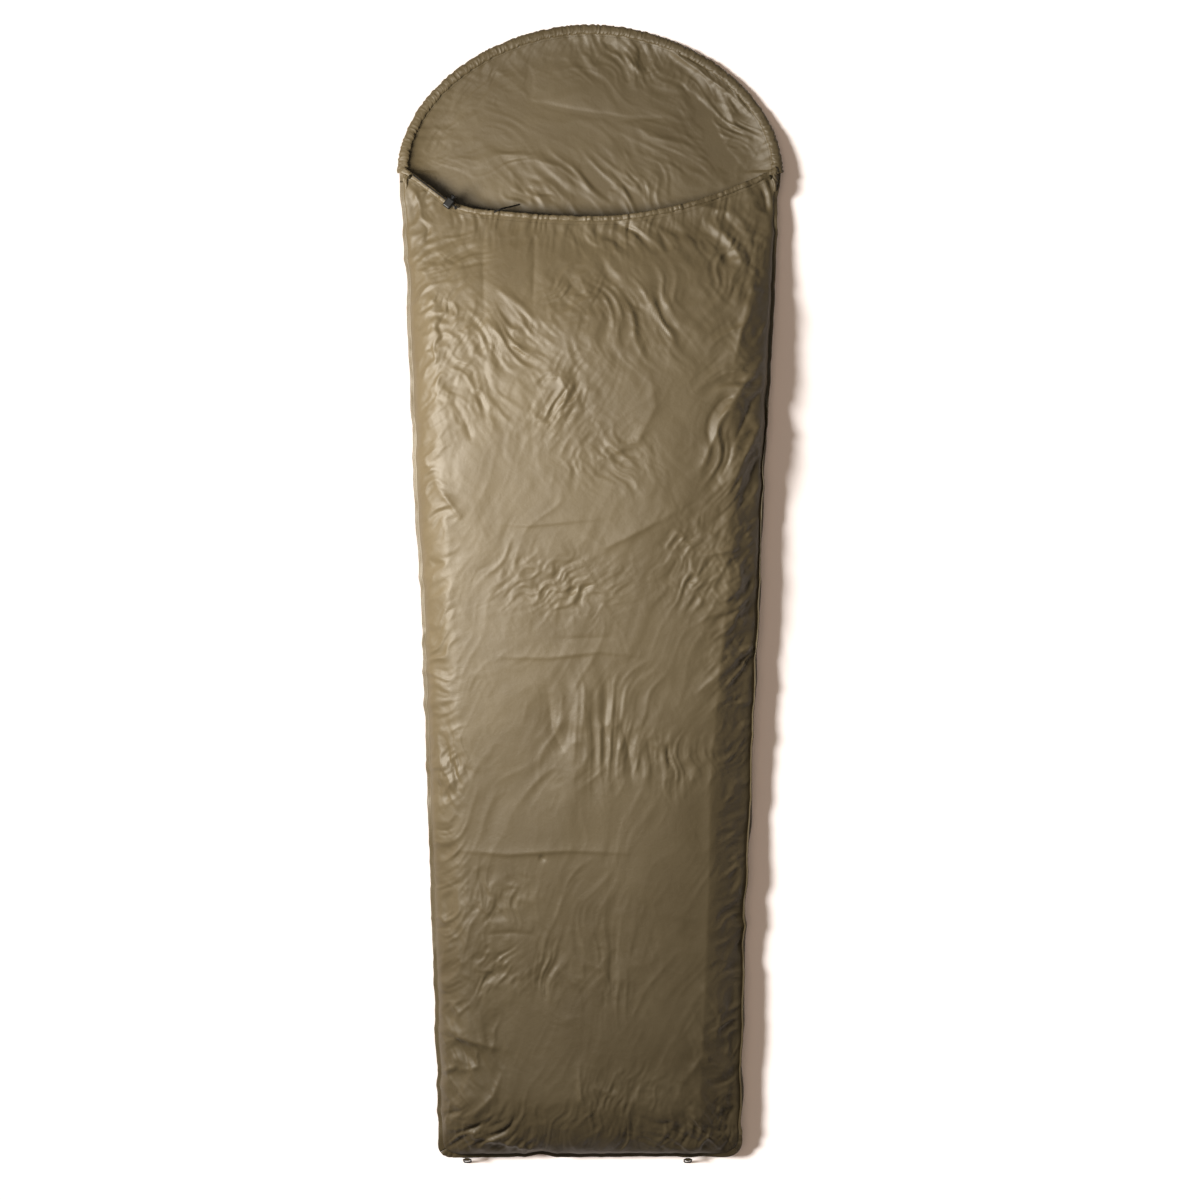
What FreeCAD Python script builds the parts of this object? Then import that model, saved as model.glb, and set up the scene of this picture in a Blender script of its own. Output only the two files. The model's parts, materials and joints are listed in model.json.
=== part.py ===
import FreeCAD, Part
import math
import os

# Bivy sack: a tapered one-person weatherproof bag that lies on its base, with a hood at the +Y end.
# +Y points to the hood, +X to the sleeper's left as they lie on their back with +Z up.
# The origin is on the ground under the middle of the bag. Millimetres.

# ---------------------------------------------------------------- overall sizes
overall_length = 2250.0        # tips of the peg loops to the crown of the hood
shoulder_half_width = 377.0    # over the seams, where the hood begins
foot_half_width = 302.0        # over the seams, at the foot
taper_power = 1.3              # 1 is a straight taper, more keeps the width nearer the foot's
foot_corner_radius = 30.0
hood_length = 287.0            # shoulder line to the crown of the hood
hood_power = 1.9               # 2 is an ellipse, less is more pointed

# ---------------------------------------------------------------- heights, as it lies full of air
crown_height = 92.0            # highest line of the top panel, over the chest
neck_height = 34.0             # top panel at the neckline
foot_height = 78.0             # top panel before it turns down to the foot
rise_length = 350.0            # along Y, from the neckline's height to the crown
seam_height = 24.0             # underside of the base panel at its edges
base_roll = 74.0               # how far in from its edge the base panel leaves the ground
top_roll = 90.0                # how far in from its edge the top panel is level
foot_roll = 120.0              # the same, at the foot
roll_power = 2.2               # 2 is a quarter ellipse, more is squarer
station_step = 130.0           # most between two cross-sections of the bag, past the foot

# ---------------------------------------------------------------- cloth, seams, tape
cloth = 2.0                    # coated cloth with its loft of air, as one solid skin
ground_trim = 0.3              # taken off the underside, so that it rests on a true flat
seam_width = 8.0               # both panels' edges, sewn flat and standing out as a fin
tape_width = 20.0
tape_thickness = 0.8
tape_lift = 0.4                # glue line between tape and base panel
tape_inset = 4.0               # tape's edge to the seam
tape_foot_gap = 60.0           # the side tapes start this far up from the foot

# ---------------------------------------------------------------- hems and drawcord
neckline_dip = 100.0           # how far the neckline hangs below the shoulder line
neck_hem_radius = 4.5
hood_hem_radius = 8.0
cord_radius = 1.5
cord_clearance = 0.5           # around a cord inside its channel
hood_fold_gap = 25.0           # the hood's hem starts this far past the shoulder line
base_fold_gap = 2.0            # base panel to the shoulder line
bartack_thickness = 4.0
bartack_width = 8.0
bartack_margin = 0.5           # above the cord that comes out of it
seam_tack_inset = 1.0          # from both edges of the side seam
seam_tack_length = 3.0
seam_tack_height = 1.2

# Neckline, left to right: share of the shoulder's half width, and share of the dip.
neckline = (
    (-0.934, 0.18), (-0.84, 0.46), (-0.74, 0.735), (-0.62, 0.84), (-0.47, 0.90),
    (-0.25, 0.97), (-0.02, 1.0), (0.22, 0.955), (0.47, 0.78), (0.62, 0.61),
    (0.74, 0.44), (0.85, 0.29), (0.934, 0.18),
)
# Hood hem, right to left: angles around the hood's outline, in degrees.
hood_hem_angles = (
    6.0, 15.0, 26.0, 38.0, 50.0, 61.0, 72.0, 84.0, 97.0, 109.0, 120.0, 131.0, 143.0, 155.0, 165.5, 174.0,
)

# Taut drawcord on top of the neckline hem, from its left end to the cord lock.
span_start_across = (5.0, 4.0)        # from the hem's left end
span_direction = (0.79, -0.61, 0.105)
span_to_lock = 91.0                   # start of the cord to the middle of the lock
lock_over_hem = 1.0                   # gap between the hem and the lock above it
knot_radius = 4.5
knot_gap = 4.0                        # lock to knot

# Free end of the drawcord: out of the hem's top, over it and down onto the base panel.
# All its points are (x, y) from the middle of the hem where the cord leaves it.
# The first ones have z from the hem's top, the others from where the cord lies on the base panel.
tail_exit_share = -0.505
tail_over_hem = ((0.0, -0.5, -1.9), (8.8, 3.9, 3.9), (19.4, 8.6, -1.0), (28.0, 12.4, -13.5))
tail_on_base = ((36.0, 16.0, 14.0), (50.0, 22.0, 0.7))

# ---------------------------------------------------------------- cord lock
lock_length = 20.0             # along the plunger
lock_width = 16.0              # along the cord
lock_wall = 1.7                # beside the plunger's bore
lock_floor = 3.0
lock_edge_radius = 3.0
lock_above_cord = 8.0          # the cord's axis to the lock's open end
plunger_radius = 4.0
plunger_clearance = 0.3
plunger_travel = 3.5
plunger_stop_gap = 0.5         # left between cap and lock when pressed right in
plunger_foot = 3.5             # the cord's axis to the plunger's inner end
cap_overhang = 1.5             # cap past the plunger, all round
cap_height = 3.5
cap_edge_radius = 1.0
cord_hole_clearance = 0.8      # around the cord in the lock's body
slot_clearance = 0.5           # around the cord in the plunger
slot_grip = 0.3                # the slot's inner end sits this far past the cord's axis
spring_inset = 1.2             # middle of the wire to the plunger's side
spring_wire_radius = 0.35
spring_pitch = 1.3
spring_points_per_turn = 10
spring_end_gap = 0.1

# ---------------------------------------------------------------- peg loops at the foot
peg_loop_x = (-242.0, 193.0)   # left and right
peg_loop_reach = 15.0          # they stand out past the foot seam
peg_cord_radius = 1.5
peg_tack_half_width = 5.0
peg_tack_wall = 1.2            # folded seam around the bore that the loop turns in
peg_bore_clearance = 0.3
peg_leg_gap = 0.5              # between a leg and the side of the folded seam
peg_corner_gap = 0.4           # between the cord's side and the centre of its tightest bend

# ---------------------------------------------------------------- worked out from the sizes
foot_y = -overall_length / 2 + peg_loop_reach
shoulder_y = overall_length / 2 - hood_length
panel_foot_y = foot_y + seam_width
seam_top = seam_height + cloth
hinge_z = seam_height + cloth / 2
rim_half_width = shoulder_half_width - hood_hem_radius
rim_length = hood_length - hood_hem_radius
lock_thickness = 2 * (plunger_radius + plunger_clearance + lock_wall)
cap_radius = plunger_radius + cap_overhang
spring_radius = plunger_radius - spring_inset
cord_hole_radius = cord_radius + cord_hole_clearance
slot_radius = cord_radius + slot_clearance
span_lift = neck_hem_radius + lock_over_hem + lock_thickness / 2
bartack_height = neck_hem_radius + span_lift + cord_radius + bartack_margin
peg_tack_size = 2 * (peg_cord_radius + peg_bore_clearance + peg_tack_wall)
peg_loop_half_width = peg_tack_half_width + peg_leg_gap + peg_cord_radius
peg_corner_radius = peg_cord_radius + peg_corner_gap

V = FreeCAD.Vector
os.makedirs("parts", exist_ok=True)


def save(name, shape):
    """Writes one piece, after checking that it is closed and valid."""
    solids = shape.Solids
    if not solids or not all(s.isValid() for s in solids):
        raise ValueError(name + " is not a valid solid")
    if len(solids) == 1:
        shape = solids[0]
    shape.exportStep("parts/" + name + ".step")
    print(name, len(solids), "solid(s)", round(sum(s.Volume for s in solids)), "mm3")
    return shape


# ---------------------------------------------------------------- outline and surfaces
def corner_inset(y):
    """How much the foot's rounded corner takes off the half width."""
    short = foot_corner_radius - (y - panel_foot_y)
    if short <= 0:
        return 0.0
    short = min(short, foot_corner_radius)
    return foot_corner_radius - math.sqrt(foot_corner_radius ** 2 - short ** 2)


def half_width(y):
    """Half width of the two panels, without the seam."""
    t = (y - foot_y) / (shoulder_y - foot_y)
    over_seams = foot_half_width + (shoulder_half_width - foot_half_width) * max(t, 0.0) ** taper_power
    return over_seams - seam_width - corner_inset(y)


def smooth(t):
    t = min(max(t, 0.0), 1.0)
    return t * t * (3 - 2 * t)


def crown(y):
    """Height of the top panel's middle, before it turns down to the foot."""
    if y > shoulder_y - rise_length:
        return neck_height + (crown_height - neck_height) * smooth((shoulder_y - y) / rise_length)
    share = (shoulder_y - rise_length - y) / (shoulder_y - rise_length - foot_y)
    return crown_height + (foot_height - crown_height) * share


def rounded(s):
    """Shape of an edge that turns down: 1 where level, 0 at the seam."""
    s = min(max(s, 0.0), 1.0)
    return (1 - s ** roll_power) ** (1 / roll_power)


def base_z(x, y):
    """Underside of the base panel."""
    side = max(0.0, abs(x) - (half_width(y) - base_roll)) / base_roll
    foot = max(0.0, base_roll - (y - panel_foot_y)) / base_roll
    return seam_height * min(1.0, math.hypot(side, foot)) ** 2


def top_z(x, y, inset):
    """A surface of the top panel: inset is 0 for the outer one and the cloth for the inner one."""
    side = (abs(x) - (half_width(y) - inset - top_roll)) / top_roll
    foot = (foot_roll - (y - panel_foot_y - inset)) / foot_roll
    start = seam_top + cloth - inset
    rise = crown(y) - seam_top - cloth
    return start + rise * rounded(side) * rounded(foot)


def hood_half_width(y):
    share = min(max((y - shoulder_y) / rim_length, 0.0), 1.0)
    return rim_half_width * (1 - share ** hood_power) ** (1 / hood_power)


def hood_z(x, y):
    """Underside of the hood: flat in the middle, turned up to its hem."""
    flat = 1 - base_roll / rim_half_width
    across = (abs(x) / rim_half_width) ** hood_power
    along = (max(y - shoulder_y, 0.0) / rim_length) ** hood_power
    out = (across + along) ** (1 / hood_power)
    return seam_height * min(1.0, max(0.0, (out - flat) / (1 - flat))) ** 2


# ---------------------------------------------------------------- lofted skins
def spline(points):
    curve = Part.BSplineCurve()
    curve.interpolate(points)
    return curve.toShape()


def line(a, b):
    return Part.LineSegment(a, b).toShape()


def side_points(y, inner, outer, height, steps=8):
    """Points across one rolled side, closer together towards the seam."""
    points = []
    for i in range(steps + 1):
        share = math.sin(math.pi / 2 * i / steps)
        x = inner + (outer - inner) * share
        points.append(V(x, y, height(x, y)))
    return points


def mirrored(points):
    return [V(-p.x, p.y, p.z) for p in reversed(points)]


def skin_edges(right):
    """Left side, level middle and right side of one surface, as three edges from left to right."""
    left = mirrored(right)
    return [spline(left), line(left[-1], right[0]), spline(right)]


def backwards(points):
    return list(reversed(points))


def base_section(y):
    w = half_width(y)
    over = side_points(y, w - base_roll, w, lambda x, yy: base_z(x, yy) + cloth)
    under = [V(p.x, p.y, p.z - cloth - ground_trim) for p in over]
    edges = skin_edges(under)
    edges.append(line(under[-1], over[-1]))
    edges.append(spline(backwards(over)))
    edges.append(line(over[0], mirrored(over)[-1]))
    edges.append(spline(backwards(mirrored(over))))
    edges.append(line(mirrored(over)[0], mirrored(under)[0]))
    return Part.Wire(edges)


def top_section(y):
    w = half_width(y)
    outer = side_points(y, w - top_roll, w, lambda x, yy: top_z(x, yy, 0.0))
    inner = side_points(y, w - cloth - top_roll, w - cloth, lambda x, yy: top_z(x, yy, cloth))
    right_foot = V(w, y, seam_top)
    left_foot = V(-w, y, seam_top)
    edges = skin_edges(outer)
    edges.append(line(outer[-1], right_foot))
    edges.append(line(right_foot, inner[-1]))
    edges.append(spline(backwards(inner)))
    edges.append(line(inner[0], mirrored(inner)[-1]))
    edges.append(spline(backwards(mirrored(inner))))
    edges.append(line(mirrored(inner)[0], left_foot))
    edges.append(line(left_foot, mirrored(outer)[0]))
    return Part.Wire(edges)


def loft(sections):
    return Part.makeLoft(sections, True, True)


def stations(start, end):
    """Places along the bag: close together at the foot, where it curves most."""
    near_foot = [0.0, 5.0, 12.0, 22.0, 35.0, 52.0, 75.0, 100.0, 130.0]
    first = [start + s for s in near_foot]
    count = math.ceil((end - first[-1]) / station_step)
    rest = [first[-1] + (end - first[-1]) * i / count for i in range(1, count + 1)]
    return first + rest


bag_stations = stations(panel_foot_y, shoulder_y - base_fold_gap)


def inside_z(x, y):
    """Inner face of the base panel, which runs straight from one station to the next."""
    before = max(s for s in bag_stations if s <= y)
    after = min(s for s in bag_stations if s > before)
    share = (y - before) / (after - before)
    return base_z(x, before) * (1 - share) + base_z(x, after) * share + cloth


def rectangle(x0, x1, y, z0, z1):
    corners = [V(x0, y, z0), V(x1, y, z0), V(x1, y, z1), V(x0, y, z1)]
    return Part.makePolygon(corners + corners[:1])


def make_base_panel():
    whole = loft([base_section(y) for y in bag_stations])
    wide = 4 * shoulder_half_width
    below = Part.makeBox(wide, 2 * overall_length, cloth, V(-wide / 2, -overall_length, -cloth))
    return whole.cut(below)


def make_side_seam(side):
    """Fin of sewn panel edges along one side, up to the corner of the neckline."""
    sections = []
    for y in bag_stations:
        w = half_width(y)
        a, b = sorted((side * w, side * (w + seam_width)))
        sections.append(rectangle(a, b, y, seam_height, seam_top + cloth))
    return loft(sections).cut(corner_cutter())


def make_foot_seam():
    w = half_width(panel_foot_y)
    size = V(-w, foot_y, seam_height)
    return Part.makeBox(2 * w, seam_width, seam_top + cloth - seam_height, size)


def make_side_tape(side):
    """Waterproof tape over the inside of a side seam."""
    sections = []
    start = panel_foot_y + tape_foot_gap
    end = neck_point(0)[1] - tape_foot_gap
    inside = [y for y in bag_stations if start < y < end]
    for y in [start] + inside + [end]:
        far = half_width(y) - cloth - tape_inset
        near = far - tape_width
        bottom_near = inside_z(near, y) + tape_lift
        bottom_far = inside_z(far, y) + tape_lift
        corners = [
            V(side * near, y, bottom_near),
            V(side * far, y, bottom_far),
            V(side * far, y, bottom_far + tape_thickness),
            V(side * near, y, bottom_near + tape_thickness),
        ]
        sections.append(Part.makePolygon(corners + corners[:1]))
    return loft(sections)


def make_foot_tape():
    near = panel_foot_y + cloth + tape_inset
    reach = half_width(panel_foot_y) - base_roll
    inside = [y for y in bag_stations if near < y < near + tape_width]
    sections = []
    for y in [near] + inside + [near + tape_width]:
        z = inside_z(0.0, y) + tape_lift
        sections.append(rectangle(-reach, reach, y, z, z + tape_thickness))
    return loft(sections)


# ---------------------------------------------------------------- tubes along a route
def rounded_route(points, name):
    """Straight runs joined by tangent arcs, each as large as its two runs allow."""
    edges = []
    radii = []
    at = points[0]
    for i in range(1, len(points) - 1):
        before = points[i] - points[i - 1]
        after = points[i + 1] - points[i]
        shorter = min(before.Length, after.Length)
        d1 = V(before).normalize()
        d2 = V(after).normalize()
        half_turn = d1.getAngle(d2) / 2
        tangent = 0.45 * shorter
        radius = tangent / math.tan(half_turn)
        radii.append(round(radius, 1))
        a = points[i] - d1 * tangent
        b = points[i] + d2 * tangent
        inward = (d2 - d1).normalize()
        centre = points[i] + inward * (radius / math.cos(half_turn))
        middle = centre - inward * radius
        edges.append(line(at, a))
        edges.append(Part.Arc(a, middle, b).toShape())
        at = b
    edges.append(line(at, points[-1]))
    print(name, "arc radii", radii, "least", min(radii))
    return Part.Wire(edges)


def tube(route, radius, name):
    start = route.Edges[0].valueAt(route.Edges[0].FirstParameter)
    direction = route.Edges[0].tangentAt(route.Edges[0].FirstParameter)
    profile = Part.Wire([Part.makeCircle(radius, start, direction)])
    solid = route.makePipeShell([profile], True, False)
    if solid.ShapeType != "Solid":
        solid = Part.Solid(Part.Shell(solid.Faces))
    expected = math.pi * radius ** 2 * route.Length
    print(name, "length", round(route.Length, 1), "volume ratio", round(solid.Volume / expected, 4))
    return solid


def neck_point(i):
    """A point of the neckline, on the middle of the top panel's cloth, as (x, y, z)."""
    share, dip = neckline[i]
    x = share * shoulder_half_width
    y = shoulder_y - dip * neckline_dip
    return x, y, top_z(x, y, 0.0) - cloth / 2


def corner_cutter():
    """Everything past the ends of the neckline hem, where the hood folds."""
    y = neck_point(0)[1]
    wide = 4 * shoulder_half_width
    return Part.makeBox(wide, hood_length, 4 * crown_height, V(-wide / 2, y, -crown_height))


neck_points = [V(*neck_point(i)) for i in range(len(neckline))]
neck_route = rounded_route(neck_points, "neck_hem")
channel_radius = cord_radius + cord_clearance


def mouth_cutter():
    """The space in front of the neckline, from the ground up."""
    low = -cloth
    plan = rounded_route([V(p.x, p.y, low) for p in neck_points], "neckline in plan")
    first = V(neck_points[0].x, neck_points[0].y, low)
    last = V(neck_points[-1].x, neck_points[-1].y, low)
    out = 2 * shoulder_half_width
    far = shoulder_y + hood_length
    edges = plan.Edges
    edges.append(line(last, V(out, last.y, low)))
    edges.append(line(V(out, last.y, low), V(out, far, low)))
    edges.append(line(V(out, far, low), V(-out, far, low)))
    edges.append(line(V(-out, far, low), V(-out, first.y, low)))
    edges.append(line(V(-out, first.y, low), first))
    return Part.Face(Part.Wire(edges)).extrude(V(0, 0, 2 * crown_height))


def make_top_panel(hem_filled):
    whole = loft([top_section(y) for y in bag_stations])
    panel = whole.cut(mouth_cutter()).cut(hem_filled)
    return max(panel.Solids, key=lambda s: s.Volume)


def rim_point(angle):
    a = math.radians(angle)
    power = 2 / hood_power
    x = rim_half_width * math.copysign(abs(math.cos(a)) ** power, math.cos(a))
    y = shoulder_y + rim_length * math.sin(a) ** power
    return V(x, max(y, shoulder_y + hood_fold_gap), hinge_z)


hood_route = rounded_route([rim_point(a) for a in hood_hem_angles], "hood_hem")


def hood_section(y):
    w = hood_half_width(y)
    steps = 14
    under = []
    for i in range(-steps, steps + 1):
        x = w * math.sin(math.pi / 2 * i / steps)
        under.append(V(x, y, hood_z(x, y)))
    over = [V(p.x, p.y, p.z + cloth) for p in under]
    edges = [spline(under), line(under[-1], over[-1]), spline(backwards(over)), line(over[0], under[0])]
    return Part.Wire(edges)


def make_hood_panel(hem_filled):
    shares = (0.001, 0.1, 0.2, 0.3, 0.4, 0.5, 0.6, 0.68, 0.76, 0.83, 0.89, 0.94, 0.97, 0.985)
    whole = loft([hood_section(shoulder_y + rim_length * s) for s in shares])
    panel = whole.cut(hem_filled)
    return max(panel.Solids, key=lambda s: s.Volume)


# ---------------------------------------------------------------- cord and lock
def placed(shape, origin, x_axis, y_axis, z_axis):
    """Moves a shape from its own axes to the given ones."""
    m = FreeCAD.Matrix(
        x_axis.x, y_axis.x, z_axis.x, origin.x,
        x_axis.y, y_axis.y, z_axis.y, origin.y,
        x_axis.z, y_axis.z, z_axis.z, origin.z,
        0, 0, 0, 1,
    )
    moved = shape.copy()
    moved.transformShape(m, True, False)
    return moved


span_start = neck_points[0] + V(*span_start_across, span_lift)
cord_dir = V(*span_direction).normalize()
plunger_dir = V(0, 0, 1).cross(cord_dir).normalize()
lock_up = cord_dir.cross(plunger_dir).normalize()
lock_centre = span_start + cord_dir * span_to_lock
knot_centre = lock_centre + cord_dir * (lock_width / 2 + knot_gap + knot_radius)


def rod(start, direction, radius, length):
    return Part.makeCylinder(radius, length, start, direction)


def make_lock_body():
    """Rounded block with a bore for the plunger and a hole for the cord. Its own axes: X cord, Y plunger."""
    y0 = lock_above_cord - lock_length
    block = Part.makeBox(
        lock_width, lock_length, lock_thickness, V(-lock_width / 2, y0, -lock_thickness / 2)
    )
    block = block.makeFillet(lock_edge_radius, block.Edges)
    bore_radius = plunger_radius + plunger_clearance
    bore = rod(V(0, y0 + lock_floor, 0), V(0, 1, 0), bore_radius, lock_length)
    cross = rod(V(-lock_width, 0, 0), V(1, 0, 0), cord_hole_radius, 2 * lock_width)
    return block.cut(bore).cut(cross)


def make_plunger():
    neck = lock_above_cord + plunger_travel + plunger_stop_gap
    stem = rod(V(0, -plunger_foot, 0), V(0, 1, 0), plunger_radius, plunger_foot + neck)
    cap = rod(V(0, neck, 0), V(0, 1, 0), cap_radius, cap_height)
    cap = cap.makeFillet(cap_edge_radius, [e for e in cap.Edges if e.BoundBox.YMin > neck + cap_height / 2])
    low = slot_grip
    high = slot_grip + plunger_travel
    wide = 4 * plunger_radius
    slot = rod(V(-wide / 2, low, 0), V(1, 0, 0), slot_radius, wide)
    slot = slot.fuse(rod(V(-wide / 2, high, 0), V(1, 0, 0), slot_radius, wide))
    middle = Part.makeBox(wide, high - low, 2 * slot_radius, V(-wide / 2, low, -slot_radius))
    slot = slot.fuse(middle)
    return stem.fuse(cap).cut(slot).removeSplitter()


def make_lock_spring():
    """Coil between the floor of the lock's bore and the plunger. Its own axes are the lock's."""
    floor_y = lock_above_cord - lock_length + lock_floor
    start = floor_y + spring_wire_radius + spring_end_gap
    end = -plunger_foot - spring_wire_radius - spring_end_gap
    count = round((end - start) / spring_pitch * spring_points_per_turn)
    points = []
    for i in range(count + 1):
        turn = 2 * math.pi * i / spring_points_per_turn
        y = start + (end - start) * i / count
        points.append(V(spring_radius * math.cos(turn), y, spring_radius * math.sin(turn)))
    return tube(rounded_route(points, "lock_spring"), spring_wire_radius, "lock_spring")


def make_hem_plate(at, along):
    """Bar-tacked end of the neckline hem: a plate across the channel's mouth."""
    across = V(0, 0, 1).cross(along).normalize()
    up = along.cross(across).normalize()
    below = neck_hem_radius
    plate = Part.makeBox(
        bartack_thickness, bartack_width, bartack_height, V(-bartack_thickness, -bartack_width / 2, -below)
    )
    return placed(plate, at, along, across, up)


def make_corner_bartacks():
    """Dense stitches over the ends of the two side seams."""
    y = neck_point(0)[1] - 3 * seam_tack_length
    wide = seam_width - 2 * seam_tack_inset
    tacks = []
    for side in (-1, 1):
        middle = side * (half_width(y) + seam_width / 2)
        corner = V(middle - wide / 2, y, seam_top + cloth)
        tacks.append(Part.makeBox(wide, seam_tack_length, seam_tack_height, corner))
    return Part.makeCompound(tacks)


def tail_points():
    """The free end's route, from the hem to where it ends on the base panel."""
    x = tail_exit_share * shoulder_half_width
    before, after = next((a, b) for a, b in zip(neck_points, neck_points[1:]) if a.x <= x <= b.x)
    leaves = before + (after - before) * ((x - before.x) / (after.x - before.x))
    points = [leaves + V(dx, dy, neck_hem_radius + dz) for dx, dy, dz in tail_over_hem]
    for dx, dy, dz in tail_on_base:
        px, py = leaves.x + dx, leaves.y + dy
        points.append(V(px, py, inside_z(px, py) + cord_radius + dz))
    return points


# ---------------------------------------------------------------- peg loops
peg_pin_y = foot_y - peg_tack_size / 2
peg_pin_z = seam_height + cloth
peg_drop = peg_pin_z - peg_cord_radius
peg_out = peg_pin_y + overall_length / 2 - peg_cord_radius
peg_length = math.hypot(peg_drop, peg_out)
peg_dir = V(0, -peg_out / peg_length, -peg_drop / peg_length)


def make_peg_tack(x):
    """Folded and bar-tacked seam, with the bore that the loop's caught stretch turns in."""
    half = peg_tack_size / 2
    block = Part.makeBox(
        2 * peg_tack_half_width, peg_tack_size, peg_tack_size,
        V(x - peg_tack_half_width, peg_pin_y - half, peg_pin_z - half),
    )
    wide = 4 * peg_tack_half_width
    bore = rod(V(x - wide / 2, peg_pin_y, peg_pin_z), V(1, 0, 0), peg_cord_radius + peg_bore_clearance, wide)
    return block.cut(bore)


def make_peg_loop(x):
    """Closed ring of cord: the caught stretch, two legs and a round end."""
    h = peg_loop_half_width
    r = peg_corner_radius
    pin = V(x, peg_pin_y, peg_pin_z)
    side = V(1, 0, 0)

    def at(a, b):
        return pin + side * a + peg_dir * b

    turn = r * (1 - math.sqrt(0.5))
    end = peg_length - h
    edges = [
        line(at(-h + r, 0), at(h - r, 0)),
        Part.Arc(at(h - r, 0), at(h - turn, turn), at(h, r)).toShape(),
        line(at(h, r), at(h, end)),
        Part.Arc(at(h, end), at(0, peg_length), at(-h, end)).toShape(),
        line(at(-h, end), at(-h, r)),
        Part.Arc(at(-h, r), at(-h + turn, turn), at(-h + r, 0)).toShape(),
    ]
    route = Part.Wire(edges)
    profile = Part.Wire([Part.makeCircle(peg_cord_radius, at(-h + r, 0), side)])
    ring = route.makePipeShell([profile], True, False)
    if ring.ShapeType != "Solid":
        ring = Part.Solid(Part.Shell(ring.Faces))
    if ring.Volume < 0:
        ring.reverse()
    return ring


# ---------------------------------------------------------------- the bag
save("base_panel", make_base_panel())
neck_hem_filled = tube(neck_route, neck_hem_radius, "neck_hem")
neck_channel = tube(neck_route, channel_radius, "neck channel")
top_panel = save("top_panel", make_top_panel(neck_hem_filled))
save("side_seam_left", make_side_seam(-1))
save("side_seam_right", make_side_seam(1))
save("foot_seam", make_foot_seam())
save("seam_tape_left", make_side_tape(-1))
save("seam_tape_right", make_side_tape(1))
save("seam_tape_foot", make_foot_tape())
save("corner_bartacks", make_corner_bartacks())

# ---------------------------------------------------------------- neckline hem and its cord
save("neck_hem", neck_hem_filled.cut(neck_channel))
save("neck_drawcord", tube(neck_route, cord_radius, "neck_drawcord"))
first_run = (neck_points[1] - neck_points[0]).normalize()
last_run = (neck_points[-2] - neck_points[-1]).normalize()
span_length = span_to_lock + lock_width / 2 + knot_gap + knot_radius
drawcord_span = rod(span_start, cord_dir, cord_radius, span_length)
print("drawcord_span length", round(span_length, 1))
save("drawcord_span", drawcord_span)
left_plate = make_hem_plate(neck_points[0], first_run)
save("cord_exit_bartack", left_plate.cut(drawcord_span).cut(top_panel))
save("hem_end_bartack", make_hem_plate(neck_points[-1], last_run).cut(top_panel))
save("drawcord_knot", Part.makeSphere(knot_radius, knot_centre).cut(drawcord_span))
tail_path = rounded_route(tail_points(), "drawcord_tail")
save("drawcord_tail", tube(tail_path, cord_radius, "drawcord_tail").cut(neck_hem_filled))

# ---------------------------------------------------------------- hood
hood_hem_filled = tube(hood_route, hood_hem_radius, "hood_hem")
hood_channel = tube(hood_route, channel_radius, "hood channel")
save("hood_panel", make_hood_panel(hood_hem_filled))
save("hood_hem", hood_hem_filled.cut(hood_channel))
save("hood_drawcord", tube(hood_route, cord_radius, "hood_drawcord"))

# ---------------------------------------------------------------- cord lock
lock_axes = (lock_centre, cord_dir, plunger_dir, lock_up)
save("lock_body", placed(make_lock_body(), *lock_axes))
save("lock_plunger", placed(make_plunger(), *lock_axes))
save("lock_spring", placed(make_lock_spring(), *lock_axes))

# ---------------------------------------------------------------- peg loops
for word, place in zip(("left", "right"), peg_loop_x):
    save("peg_loop_tack_" + word, make_peg_tack(place))
    save("peg_loop_" + word, make_peg_loop(place))

# ---------------------------------------------------------------- joint axes, for the record
print("hood hinge y z", shoulder_y, hinge_z)
print("cord lock slides along", [round(-c, 5) for c in cord_dir])
print("plunger presses along", [round(-c, 5) for c in plunger_dir])
print("lock centre", [round(c, 2) for c in lock_centre])
print("peg loop pins y z", peg_pin_y, peg_pin_z)
print("neckline", [[round(c, 1) for c in p] for p in neck_points])
print("tail", [[round(c, 1) for c in p] for p in tail_points()])
print("span", [round(c, 2) for c in span_start], [round(c, 2) for c in knot_centre])
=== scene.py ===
import json
import math

import bmesh
import bpy
import numpy as np
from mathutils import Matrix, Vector
from mathutils.bvhtree import BVHTree


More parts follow.
